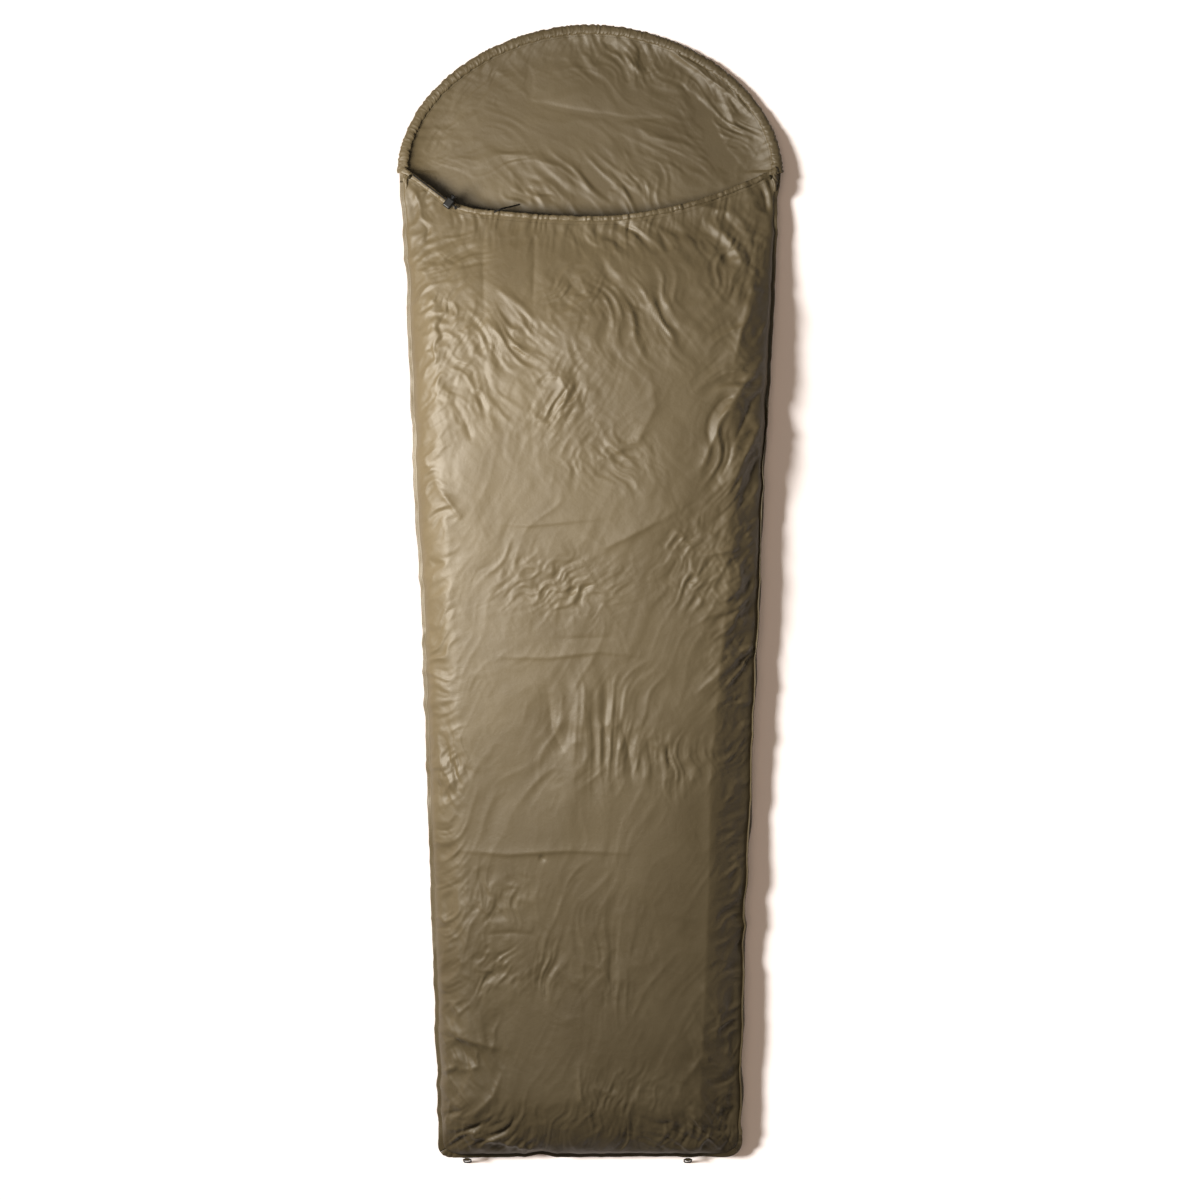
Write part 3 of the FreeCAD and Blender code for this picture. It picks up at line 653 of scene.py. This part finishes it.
def make_top_panel():
    rows, cols = 4 * sim_rows - 3, 4 * sim_cols - 3
    full = shifted(top_grid(rows, cols))
    moved = softened(simulate(full[::4, ::4]), 2)
    share = 0.22 + 0.40 * crumpled(full[::4, ::4, 0], full[::4, ::4, 1])
    full = full + upsample(upsample(moved * share[..., None]))
    x, y = full[..., 0], full[..., 1]
    edge = np.minimum(smooth((half_width(y) - np.abs(x)) / 0.02), smooth((y - panel_foot_y) / 0.02))
    return full + grid_normals(full) * (top_relief(x, y) * (0.25 + 0.75 * edge))[..., None]


# ---- the lower sheet: base, mouth and hood
def lower_grid(cols, hood_rows):
    """Body rows up to the shoulder, then the hood's half disc."""
    hidden = np.linspace(panel_foot_y, 0.66, 230, endpoint=False)
    seen = np.linspace(0.66, shoulder_y, 60, endpoint=False)
    s = np.linspace(-1, 1, cols)
    rows = []
    for y in np.concatenate([hidden, seen]):
        x = s * half_width(y)
        rows.append(np.stack([x, 0 * x + y, base_z(x, y + 0 * x)], 1))
    for v in np.linspace(0, 1, hood_rows):
        u, w = s * np.sqrt(1 - v * v / 2), v * np.sqrt(1 - s * s / 2)
        angle = np.arctan2(w, u)
        grow = (np.abs(np.cos(angle)) ** hood_power + np.sin(angle) ** hood_power) ** (-1 / hood_power)
        x, y = u * grow * rim_half, shoulder_y + w * grow * rim_length
        rows.append(np.stack([x, y, hood_z(x, y)], 1))
    return np.array(rows)


bulge = 0.021                  # how far the lower sheet's flank is pushed outwards on the right


def on_lower_sheet(points):
    """Where points of the plain lower sheet end up: seams gathered, right flank bulged under its seam."""
    x, y = points[..., 0], points[..., 1]
    share = np.clip((x - half_width(y) + base_roll) / base_roll, 0, 1)
    along = smooth((0.40 - y) / 0.10) * smooth((y - panel_foot_y - 0.02) / 0.04)
    full = 0.72 + 0.34 * noise(y / 0.075, y * 0 + 2.5, 96)
    out = shifted(points)
    out[..., 0] += bulge * full * along * 9.5 * share ** 3 * (1 - share)
    return out


def make_lower_sheet():
    points = on_lower_sheet(lower_grid(4 * sim_cols - 3, 110))
    x, y = points[..., 0], points[..., 1]
    points[..., 2] += hood_relief(x, y) * smooth((y - 0.64) / 0.05)
    points[..., 2] = np.maximum(points[..., 2], 0.0006)
    return points


# ---- tubes and ribbons along a line
def frames_along(path):
    """Level side and up for each point of a path."""
    t = unit(np.gradient(path, axis=0))
    side = unit(np.cross(t, (0, 0, 1.0)))
    return side, np.cross(side, t)


def tube(name, path, frames, around, size):
    """A closed skin round a path. size(distance, angle) gives its half width and half height."""
    side, up = frames
    a, l = np.meshgrid(np.linspace(0, 2 * math.pi, around, endpoint=False), distance_along(path))
    wide, tall = size(l, a)
    out = path[:, None] + side[:, None] * (np.cos(a) * wide)[..., None]
    obj = grid_object(name, out + up[:, None] * (np.sin(a) * tall)[..., None], closed_across=True)
    b = bmesh.new()
    b.from_mesh(obj.data)
    b.verts.ensure_lookup_table()
    b.faces.new(b.verts[:around][::-1])
    b.faces.new(b.verts[len(b.verts) - around:])
    b.to_mesh(obj.data)
    b.free()
    obj.data.shade_smooth()
    return obj


def channel(name, path, half_wide, half_tall, pucker, around=36):
    """A flattened sleeve of cloth round a path, puckered by pucker(distance, angle)."""
    def size(l, a):
        grow = 1 + pucker(l, a)
        return half_wide * grow, half_tall * grow
    return tube(name, path, frames_along(path), around, size)


def rim_path(count, first=-0.03, last=math.pi + 0.03):
    a = np.linspace(first, last, 1500)
    c, s = np.cos(a), np.sin(a)
    x = rim_half * np.sign(c) * np.abs(c) ** (2 / hood_power)
    y = shoulder_y + rim_length * np.sign(s) * np.abs(s) ** (2 / hood_power)
    return by_length(np.stack([x, y, hinge_z - 0.001 - rim_drop(y)], 1), count)


def hem_pucker(seed, step, deep, total=0.0, bunch=0.0):
    """Fine gathers of a sleeve, with thicker bunched ends if bunch is given."""
    def pucker(l, a):
        skew = l + 0.004 * np.sin(a)
        ripple = 1 - 2 * np.abs(noise(skew / step, 0.8 * np.cos(a) + 5, seed))
        fine = 1 - 2 * np.abs(noise(skew / step * 2.3, 1.6 * np.cos(a) + 9, seed + 1))
        near_end = np.exp(-np.minimum(l, total - l) / 0.014) if bunch else 0.0
        return (deep + 0.5 * bunch * near_end) * (0.65 * ripple + 0.35 * fine) + bunch * near_end
    return pucker


def neck_path(count, lift):
    """Along the neckline, on the settled edge of the top panel."""
    line = by_length(top_points[-1], count)
    line[:, 2] += lift
    return line


def carried_frames(path):
    """A side and an up for each point, which don't turn about the path."""
    t = unit(np.gradient(path, axis=0))
    side = np.cross(t[0], (0.3, 0.2, 0.93))
    sides = []
    for along in t:
        side = unit(side - along * np.dot(side, along))
        sides.append(side)
    sides = np.array(sides)
    return sides, np.cross(sides, t)


def braided_tube(name, path, radius, around=20, braid=0.06):
    """A round cord along a path, with the raised strands of its braid, or a wire if it has none."""
    def size(l, a):
        turn = l * 2 * math.pi / 0.0052
        grow = radius * (1 - 0.67 * braid + braid * np.sin(turn + 3 * a) * np.sin(turn - 3 * a))
        return grow, grow
    return tube(name, path, carried_frames(path), around, size)


def satin_roll(name, start, end, half_wide, half_tall, seed, step=0.0006):
    """A bar tack: threads wound side by side round a short bar, with soft ends."""
    path = np.linspace(start, end, 90)
    total = math.dist(start, end)

    def wound(l, a):
        thread = np.abs(np.sin(math.pi * (l / step + 0.15 * np.sin(a))))
        ends = 1 - 0.35 * np.exp(-np.minimum(l, total - l) / (0.08 * total))
        return ends * (0.90 + 0.10 * thread + 0.05 * noise(l / (3 * step), a + 4, seed)) - 1
    return channel(name, path, half_wide, half_tall, wound)


def joined(name, objects):
    with bpy.context.temp_override(active_object=objects[0], selected_editable_objects=objects):
        bpy.ops.object.join()
    objects[0].name = name
    return objects[0]


def stitches(name, path, up, step=0.0034, long=0.0024, thick=0.00024):
    """A row of thread stitches, each a small bead that lies along the path."""
    at = distance_along(path)
    count = int(at[-1] / step)
    want = (np.arange(count) + 0.5) * at[-1] / count
    line, ups, t = (sampled(rows, at, want) for rows in (path, up, np.gradient(path, axis=0)))
    side = unit(np.cross(t, ups))
    rings, around = 5, 6
    u = np.linspace(-1, 1, rings)[:, None, None]
    wide = thick * np.sqrt(np.maximum(1 - u * u, 0.06))
    a = np.linspace(0, 2 * math.pi, around, endpoint=False)[:, None]
    line, ups, t, side = (v[:, None, None] for v in (line, ups, unit(t), side))
    verts = line + t * u * long / 2 + (side * np.cos(a) + ups * np.sin(a)) * wide
    one = [list(range(around))[::-1], list(range((rings - 1) * around, rings * around))]
    for ring in range(0, (rings - 1) * around, around):
        for k in range(around):
            first, second = ring + k, ring + (k + 1) % around
            one.append([first, second, second + around, first + around])
    faces = [[bead * rings * around + v for v in face] for bead in range(count) for face in one]
    mesh = bpy.data.meshes.new(name)
    mesh.from_pydata(verts.reshape(-1, 3).tolist(), [], faces)
    mesh.shade_smooth()
    return link(name, mesh)


# ---- materials
def material(name):
    """A principled material. Also gives its node tree, its shader and the place on the object."""
    m = bpy.data.materials.new(name)
    m.use_nodes = True
    tree = m.node_tree
    tree.nodes.clear()
    shader = add_node(tree, "BsdfPrincipled")
    add_node(tree, "OutputMaterial", Surface=shader.outputs[0])
    return m, tree, shader, add_node(tree, "TexCoord").outputs["Object"]


def plug(tree, n, **sockets):
    """Sets a node's inputs: each value is a constant or the output to link. A _ stands for a space."""
    for key, value in sockets.items():
        socket = n.inputs[key.replace("_", " ")]
        if isinstance(value, bpy.types.NodeSocket):
            tree.links.new(value, socket)
        else:
            socket.default_value = value


def add_node(tree, kind, **sockets):
    n = tree.nodes.new("ShaderNode" + kind)
    plug(tree, n, **sockets)
    return n


def noise_node(tree, place, scale, detail=4.0, rough=0.6, distort=0.0):
    n = add_node(tree, "TexNoise", Vector=place, Scale=scale, Detail=detail, Roughness=rough,
                 Distortion=distort)
    return n.outputs[0]


def ramp_node(tree, value, stops):
    r = add_node(tree, "ValToRGB", Fac=value)
    while len(r.color_ramp.elements) < len(stops):
        r.color_ramp.elements.new(0.5)
    for e, (at, colour) in zip(r.color_ramp.elements, stops):
        e.position = at
        e.color = (*colour, 1)
    return r.outputs[0]


def spread_node(tree, value, low, high):
    """A value from 0 to 1 spread from low to high."""
    return add_node(tree, "MapRange", Value=value, To_Min=low, To_Max=high).outputs[0]


def wave_node(tree, place, scale, distort, direction="X"):
    w = add_node(tree, "TexWave", Vector=place, Scale=scale, Distortion=distort)
    w.bands_direction = direction
    return w.outputs["Fac"]


def combined(tree, operation, first, second):
    n = add_node(tree, "Math")
    n.operation = operation
    tree.links.new(first, n.inputs[0])
    tree.links.new(second, n.inputs[1])
    return n.outputs[0]


def nylon(name, dark, middle, light, roughness):
    """Satin coated nylon: mottled colour, fine plain weave, small soft crinkles."""
    m, tree, shader, place = material(name)
    big = noise_node(tree, place, 7.0)
    patches = noise_node(tree, place, 23.0)
    crinkle = noise_node(tree, place, 62.0, 5.0, 0.62, 1.1)
    weave = combined(tree, "MAXIMUM", *(wave_node(tree, place, 520.0, 0.15, way) for way in "XY"))
    crinkled = add_node(tree, "Bump", Strength=0.10, Distance=0.004, Height=crinkle)
    woven = add_node(tree, "Bump", Strength=0.10, Distance=0.0002, Height=weave, Normal=crinkled.outputs[0])
    plug(tree, shader, Base_Color=ramp_node(tree, big, ((0.30, dark), (0.5, middle), (0.72, light))),
         Roughness=spread_node(tree, patches, roughness - 0.06, roughness + 0.08), Specular_IOR_Level=0.45,
         Sheen_Weight=0.05, Sheen_Roughness=0.45, Sheen_Tint=(0.85, 0.80, 0.66, 1), Normal=woven.outputs[0])
    return m


def plain(name, dark, light, scale, roughness, strength, distance, metal=0.0, shine=0.5):
    """Colour and surface from one noise, for thread, cord, plastic and steel."""
    m, tree, shader, place = material(name)
    n = noise_node(tree, place, scale)
    uneven = add_node(tree, "Bump", Strength=strength, Distance=distance, Height=n)
    plug(tree, shader, Base_Color=ramp_node(tree, n, ((0.3, dark), (0.7, light))), Metallic=metal,
         Roughness=spread_node(tree, n, roughness - 0.08, roughness + 0.08), Specular_IOR_Level=shine,
         Normal=uneven.outputs[0])
    return m


def braided(name, dark, light):
    """Cord sheath: two sets of slanting strands."""
    m, tree, shader, place = material(name)
    sets = []
    for turn in (0.8, -0.8):
        turned_place = add_node(tree, "Mapping", Vector=place, Rotation=(turn, 0.5, turn)).outputs[0]
        sets.append(wave_node(tree, turned_place, 260.0, 0.6))
    strands = combined(tree, "MULTIPLY", *sets)
    raised = add_node(tree, "Bump", Strength=0.6, Distance=0.0006, Height=strands)
    plug(tree, shader, Base_Color=ramp_node(tree, strands, ((0.1, dark), (0.8, light))), Roughness=0.70,
         Specular_IOR_Level=0.25, Normal=raised.outputs[0])
    return m


shell = nylon("coated_nylon", (0.078, 0.0565, 0.0265), (0.088, 0.0650, 0.0320), (0.098, 0.0735, 0.0375), 0.51)
thread = plain("polyester_thread", (0.035, 0.027, 0.013), (0.060, 0.046, 0.024), 900.0, 0.7, 0.5, 0.0003,
               shine=0.15)
cord_black = braided("braided_cord", (0.004, 0.0035, 0.003), (0.018, 0.015, 0.013))
plastic = plain("moulded_plastic", (0.004, 0.004, 0.004), (0.009, 0.0085, 0.008), 700.0, 0.40, 0.2, 0.0002,
                shine=0.35)
steel = plain("spring_steel", (0.42, 0.42, 0.43), (0.60, 0.60, 0.61), 500.0, 0.28, 0.1, 0.0001, 1.0)
tape = plain("seam_tape_film", (0.10, 0.095, 0.085), (0.15, 0.145, 0.13), 120.0, 0.42, 0.4, 0.0006)


def finish_piece(obj, mat, nodes=(), body="bag"):
    """Material, slot and body of a piece, and the CAD nodes that it replaces."""
    obj.data.materials.clear()
    obj.data.materials.append(mat)
    if body == "hood":
        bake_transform(obj)
    else:
        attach(obj, body)
    if nodes:
        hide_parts(*nodes)


# ---- camera, first
photo_scale_width = 2.358      # the floor that the picture's width shows
aim = Vector((0.0197, -0.0108, 0.04))
lens, sensor = 85.0, 36.0
camera_data = bpy.data.cameras.new("camera")
camera_data.lens = lens
camera_data.sensor_width = sensor
camera_data.clip_end = 50
camera = bpy.data.objects.new("camera", camera_data)
scene.collection.objects.link(camera)
camera.location = aim + Vector((0, 0, photo_scale_width * lens / sensor))
scene.camera = camera


# ---- cords, before the cloth
def cord_curve(name, points):
    curve = bpy.data.curves.new(name, "CURVE")
    curve.dimensions = "3D"
    curve.bevel_depth = cord_radius
    curve.bevel_resolution = 6
    curve.resolution_u = 16
    curve.use_fill_caps = True
    spline = curve.splines.new("NURBS")
    spline.points.add(len(points) - 1)
    for p, at in zip(spline.points, points):
        p.co = (*at, 1)
    spline.order_u = 3
    spline.use_endpoint_u = True
    return link(name, curve)


cord_radius = 0.0015
span_route = ((-0.34712, 0.8240, 0.0425), (-0.2625, 0.75866, 0.05374))
tail_route = (
    (-0.1904, 0.7489, 0.0449), (-0.1816, 0.7533, 0.0507), (-0.1710, 0.7580, 0.0458),
    (-0.1624, 0.7618, 0.0333), (-0.1544, 0.7654, 0.0175), (-0.1404, 0.7714, 0.0042),
)
span_middle = tuple(0.5 * (a + b) for a, b in zip(*span_route))
drawcord_span = cord_curve("drawcord_span_cord", (span_route[0], span_middle, span_route[1]))
drawcord_tail = cord_curve("drawcord_tail_cord", tail_route)

# ---- the shell
top_points = make_top_panel()
top_panel = grid_object("top_panel_cloth", top_points)
thicken(top_panel, fabric)
finish_piece(top_panel, shell, ["top_panel"])

lower_sheet = grid_object("base_and_hood_cloth", make_lower_sheet())
thicken(lower_sheet, fabric)
finish_piece(lower_sheet, shell, ["base_panel", "hood_panel"], "hood")

hood_hem_path = rim_path(900)
hood_hem = channel("hood_hem_sleeve", hood_hem_path, 0.0090, 0.0046,
                   hem_pucker(31, 0.0075, 0.19, distance_along(hood_hem_path)[-1], 0.30))
finish_piece(hood_hem, shell, ["hood_hem"], "hood")

neck_hem_path = neck_path(700, 0.0016)
neck_hem = channel("neck_hem_sleeve", neck_hem_path, 0.0052, 0.0030,
                   hem_pucker(41, 0.0090, 0.20, distance_along(neck_hem_path)[-1], 0.35))
finish_piece(neck_hem, shell, ["neck_hem"])


def outline_path():
    """Outer edge of the two sheets, down the right side, round the foot and up the left side."""
    right = top_points[::-1, -1]
    left = top_points[:, 0]
    foot = top_points[0, ::-1]
    return np.vstack([right, foot[1:-1], left])


seam_thickness = 0.0018


def make_fin(name, path, seed, standing):
    """Both sheets' edges sewn flat: a narrow wavy ribbon outside the seam line. Standing is its slope."""
    at = distance_along(path)
    corner_inset = corner_radius * (1 - math.sqrt(0.5))
    away = np.hypot(np.abs(path[:, 0]) - foot_half + corner_inset, path[:, 1] - panel_foot_y - corner_inset)
    bunched = np.exp(-(away / 0.018) ** 2)
    side, _ = frames_along(path * (1, 1, 0))
    columns = []
    for share in np.linspace(-0.15, 1, 7):
        wide = seam_width * share * (0.95 + 0.12 * noise(at / 0.03, at * 0 + 2.5, seed) + 0.85 * bunched)
        wave = noise(at / (0.026 - 0.014 * bunched), at * 0 + 6.5, seed + 1)
        wave *= (0.0026 + 0.003 * bunched) * max(share, 0)
        row = path - side * (wide * np.cos(standing))[:, None]
        row[:, 2] += wave + wide * np.sin(standing) - 0.0012
        columns.append(row)
    points = np.stack(columns, 1)
    fin = grid_object(name, points)
    thicken(fin, seam_thickness)
    return fin, points


def corner_of(side):
    """Index of the outline's point at a foot corner."""
    x = side * (foot_half - 0.012)
    y = panel_foot_y + 0.012
    return int(np.argmin(np.abs(edge_path[:, 0] - x) + np.abs(edge_path[:, 1] - y)))


edge_path = by_length(outline_path(), 1900)
corner_right, corner_left = corner_of(1), corner_of(-1)
stitch_rows = []
for name, part, node in (
    ("seam_fin_right", edge_path[:corner_right + 1], "side_seam_right"),
    ("seam_fin_foot", edge_path[corner_right:corner_left + 1], "foot_seam"),
    ("seam_fin_left", edge_path[corner_left:], "side_seam_left"),
):
    standing = np.full(len(part), -0.2)
    if node == "side_seam_right":
        y = part[:, 1]
        standing += 1.35 * smooth((0.42 - y) / 0.10) * smooth((y - panel_foot_y - 0.02) / 0.05)
    fin, fin_points = make_fin(name, part, 51, standing)
    finish_piece(fin, shell, [node])
    n = grid_normals(fin_points)
    n *= np.sign(n[..., 2:])
    stitch_rows.append(stitches(name + "_row", fin_points[:, 3] + n[:, 3] * 0.0010, n[:, 3]))

neck_line, neck_up = top_points[-5, 3:-3], grid_normals(top_points)[-5, 3:-3]
stitch_rows.append(stitches("neck_hem_row", neck_line + neck_up * 0.0006, neck_up))
finish_piece(joined("seam_stitches", stitch_rows), thread)

lower_tree = BVHTree.FromObject(lower_sheet, bpy.context.evaluated_depsgraph_get())


def on_the_sheet(path, above):
    """Drops a path onto the lower sheet from above; with the sheet's normals."""
    out, ups = [], []
    for p in path:
        place, normal, _, _ = lower_tree.ray_cast(Vector((p[0], p[1], 0.2)), Vector((0, 0, -1)))
        if place is not None:
            out.append(place + normal * above)
            ups.append(normal)
    return np.array(out), np.array(ups)


hood_row_path = rim_path(500, 0.04, math.pi - 0.04)
from_middle = hood_row_path[:, :2] - (0, shoulder_y)
hood_row_path[:, :2] -= unit(from_middle / (rim_half, rim_length)) * 0.0125
hood_stitches = stitches("hood_hem_row", *on_the_sheet(hood_row_path, 0.0003))
finish_piece(hood_stitches, thread, body="hood")

# ---- drawcords inside the hems
neck_drawcord = braided_tube("neck_drawcord_inside", neck_hem_path[6:-6], cord_radius)
finish_piece(neck_drawcord, cord_black, ["neck_drawcord"])
hood_drawcord = braided_tube("hood_drawcord_inside", hood_hem_path[12:-12], cord_radius)
finish_piece(hood_drawcord, cord_black, ["hood_drawcord"], "hood")

# ---- bar tacks
def middle_of(node):
    low, high = (np.array(corner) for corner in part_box(node))
    return (low + high) / 2, high - low


for node, first, second, tall in (("cord_exit_bartack", 0, 30, 1.0), ("hem_end_bartack", -1, -31, 0.5)):
    middle, size = middle_of(node)
    reach = unit(neck_hem_path[second] - neck_hem_path[first]) * 0.002
    middle[2] += (tall - 1) * 0.25 * size[2]
    tack = satin_roll(node + "_wound", middle - reach, middle + reach, 0.0046, tall * size[2] / 2, 61)
    finish_piece(tack, thread, [node])


def gathered_fold(start, end, lift, half_wide, seed):
    """A short rounded fold of cloth that is caught at both ends."""
    t = np.linspace(0, 1, 60)[:, None]
    path = np.array(start) * (1 - t) + np.array(end) * t
    path[:, 2:] += lift * np.sin(math.pi * t) ** 0.8
    path[:, :1] += 0.0015 * np.sin(2 * math.pi * t + seed)
    return channel("fold", path, half_wide, 0.8 * half_wide, hem_pucker(seed, 0.006, 0.14), 24)


right_end, left_end = neck_hem_path[-1], neck_hem_path[0]
folds = []
for end, side, places in (
    (right_end, 1, ((-0.002, 0.002, -0.006), (-0.005, -0.003, -0.017), (-0.009, -0.007, -0.029))),
    (left_end, -1, ((-0.005, -0.006, -0.019), (-0.009, -0.009, -0.030))),
):
    for i, (back, first_y, last_y) in enumerate(places):
        first = (end[0] + side * back, end[1] + first_y, end[2] + 0.0005)
        last_at = shoulder_y - 0.014 + last_y
        last = (side * float(half_width(last_at) - 0.002), last_at, seam_high - 0.0025)
        folds.append(gathered_fold(first, last, 0.0040 + 0.0008 * i, 0.0034 - 0.0003 * i, 71 + i))
finish_piece(joined("corner_folds", folds), shell)

tacks = []
middle, size = middle_of("corner_bartacks")
reach = np.array((0.003, 0, 0))
for side in (-1, 1):
    at = middle * (0, 1, 1) + side * (size / 2 * (1, 0, 0) - reach)
    tacks.append(satin_roll("tack", at - reach, at + reach, size[1] / 2, size[2] / 2 + 0.0004, 63))
finish_piece(joined("corner_bartacks_wound", tacks), thread, ["corner_bartacks"])

# ---- knot and peg loops
middle, size = middle_of("drawcord_knot")
cord_way = Vector(span_route[1]) - Vector(span_route[0])
turn = np.array(cord_way.to_track_quat("Z", "Y").to_matrix())
t = np.linspace(0, 2 * math.pi, 181)
reach = (size.max() / 2 - cord_radius) / 3
trefoil = (np.sin(t) + 2 * np.sin(2 * t), np.cos(t) - 2 * np.cos(2 * t), -1.5 * np.sin(3 * t))
knot = braided_tube("drawcord_knot_tied", middle + reach * np.stack(trefoil, 1) @ turn.T, cord_radius)
finish_piece(knot, cord_black, ["drawcord_knot"])


def loop_path(pin, half, way, long, bend):
    """Closed ring of cord: the caught stretch, two legs and a round end."""
    def arc(a, b, r, first, last):
        return [(a + r * math.cos(q), b + r * math.sin(q)) for q in np.linspace(first, last, 24)]

    flat = [(-half + bend, 0), (half - bend, 0)]
    flat += arc(half - bend, bend, bend, -math.pi / 2, 0)
    flat += arc(0, long - half, half, 0, math.pi)
    flat += arc(-half + bend, bend, bend, math.pi, 1.5 * math.pi)
    flat = np.array(flat)
    x = (1 + 0.05 * np.sin(flat[:, 1] / long * 7)) * flat[:, 0]
    points = np.array(pin) + x[:, None] * np.array((1, 0, 0)) + flat[:, 1:] * np.array(way)
    return by_length(points, 160)


for word in ("left", "right"):
    node = "peg_loop_" + word
    low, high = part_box(node)
    pin = next(j for j in frame["joints"] if j["name"] == node + "_swing")["pos_m"]
    down = Vector((0, low.y + cord_radius - pin[1], low.z + cord_radius - pin[2]))
    half = (high.x - low.x) / 2 - cord_radius
    path = loop_path(((low.x + high.x) / 2, pin[1], pin[2]), half, down.normalized(), down.length, 0.0019)
    loop = braided_tube(node + "_cord", path, cord_radius)
    finish_piece(loop, cord_black, [node], "peg_loop_" + word[0])
    middle, size = middle_of("peg_loop_tack_" + word)
    reach = np.array((size[0] / 2, 0, 0))
    tack = satin_roll("peg_tack_" + word, middle - reach, middle + reach, size[1] / 2, size[2] / 2, 67)
    finish_piece(tack, thread, ["peg_loop_tack_" + word])

# ---- seam tapes inside the bag
tape_inset, tape_width = 0.006, 0.020


def tape_piece(name, node, x, y):
    """Film bonded over a seam: a strip that follows the lower sheet."""
    points = on_lower_sheet(np.stack([x, y, base_z(x, y)], -1))
    points = points + grid_normals(points) * 0.0009
    strip = grid_object(name, points)
    thicken(strip, 0.0003)
    finish_piece(strip, tape, [node])


across = np.linspace(0, tape_width, 6)
for word, side in (("left", -1), ("right", 1)):
    low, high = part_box("seam_tape_" + word)
    y, inset = np.meshgrid(np.linspace(low.y, high.y, 500), across[::-1], indexing="ij")
    x = side * (half_width(y) - tape_inset - inset)
    tape_piece("tape_" + word, "seam_tape_" + word, x, y)
low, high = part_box("seam_tape_foot")
y, x = np.meshgrid(np.linspace(low.y, high.y, 6), np.linspace(low.x, high.x, 160), indexing="ij")
tape_piece("tape_foot", "seam_tape_foot", x, y)

# ---- CAD nodes that stay
press = next(j for j in frame["joints"] if j["name"] == "lock_plunger_press")
press_way = np.array(press["axis"], float)
press_side = np.cross(press_way, (0, 0, 1.0))
press_up = np.cross(press_side, press_way)
spring_node = frame["nodes"]["lock_spring"]
spring_at = np.array([spring_node.matrix_world @ v.co for v in spring_node.data.vertices])
ends = [((spring_at @ d).min(), (spring_at @ d).max()) for d in (press_way, press_side, press_up)]
(spring_from, spring_to), *sides = ends
spring_long = spring_to - spring_from
spring_wire = 0.00035
coil_radius = (sides[1][1] - sides[1][0]) / 2 - spring_wire
coil_turns = 3.5
t = np.linspace(0, 1, 260)
angle = 2 * math.pi * coil_turns * t
coil = (press_way * (spring_from + spring_wire + (spring_long - 2 * spring_wire) * t)[:, None]
        + press_side * (np.mean(sides[0]) + coil_radius * np.cos(angle))[:, None]
        + press_up * (np.mean(sides[1]) + coil_radius * np.sin(angle))[:, None])
spring = braided_tube("lock_spring_coil", coil, spring_wire, 10, 0.0)
finish_piece(spring, steel, ["lock_spring"], "cord_lock")
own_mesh(spring)

for node in ("lock_body", "lock_plunger"):
    materials = frame["nodes"][node].data.materials
    materials.clear()
    materials.append(plastic)

finish_piece(drawcord_span, cord_black, ["drawcord_span"])
finish_piece(drawcord_tail, cord_black, ["drawcord_tail"])

# ---- floor and lights
floor_points = np.array([[(x, y, -0.0006) for x in np.linspace(-9, 9, 13)] for y in np.linspace(-9, 9, 13)])
floor = grid_object("floor", floor_points)
white, tree, shader, _ = material("white_floor")
plug(tree, shader, Base_Color=(0.94, 0.87, 0.83, 1), Roughness=0.9)
floor.data.materials.append(white)
floor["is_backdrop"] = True

world = bpy.data.worlds.new("studio")
world.use_nodes = True
background = world.node_tree.nodes["Background"].inputs
background[0].default_value = (1.0, 0.955, 0.89, 1)
background[1].default_value = 0.10
scene.world = world


# Some lights are for the floor alone, so that it stays pale round the dark cloth; the others leave it out.
washed = bpy.data.collections.new("washed")
washed.objects.link(floor)
unlit = bpy.data.collections.new("not_the_floor")
unlit.objects.link(floor)
unlit.collection_objects[0].light_linking.link_state = "EXCLUDE"


def light(name, kind, way, energy, colour, receivers):
    data = bpy.data.lights.new(name, kind)
    data.energy = energy
    data.color = colour
    obj = bpy.data.objects.new(name, data)
    scene.collection.objects.link(obj)
    obj.rotation_euler = Vector(way).to_track_quat("-Z", "Y").to_euler()
    obj.light_linking.receiver_collection = receivers
    return obj


def softbox(name, place, target, size, power):
    """A rectangle of warm light on the bag."""
    obj = light(name, "AREA", Vector(target) - Vector(place), power, (1.0, 0.955, 0.875), unlit)
    obj.location = place
    obj.data.shape = "RECTANGLE"
    obj.data.size, obj.data.size_y = size


softbox("key", (-0.97, 0.30, 1.2), (-0.1, 0.1, 0), (0.7, 0.7), 67)
softbox("sheen", (-0.28, 0.30, 2.6), (-0.19, 0.2, 0), (0.7, 1.2), 6)
light("floor_wash", "SUN", (1.48, -0.25, -1), 6.0, (1, 1, 1), washed).data.angle = math.radians(13)
light("floor_fill", "SUN", (0, 0, -1), 0.70, (1.0, 0.74, 0.55), washed).data.angle = math.radians(60)
scene.view_settings.view_transform = "Standard"

low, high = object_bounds()
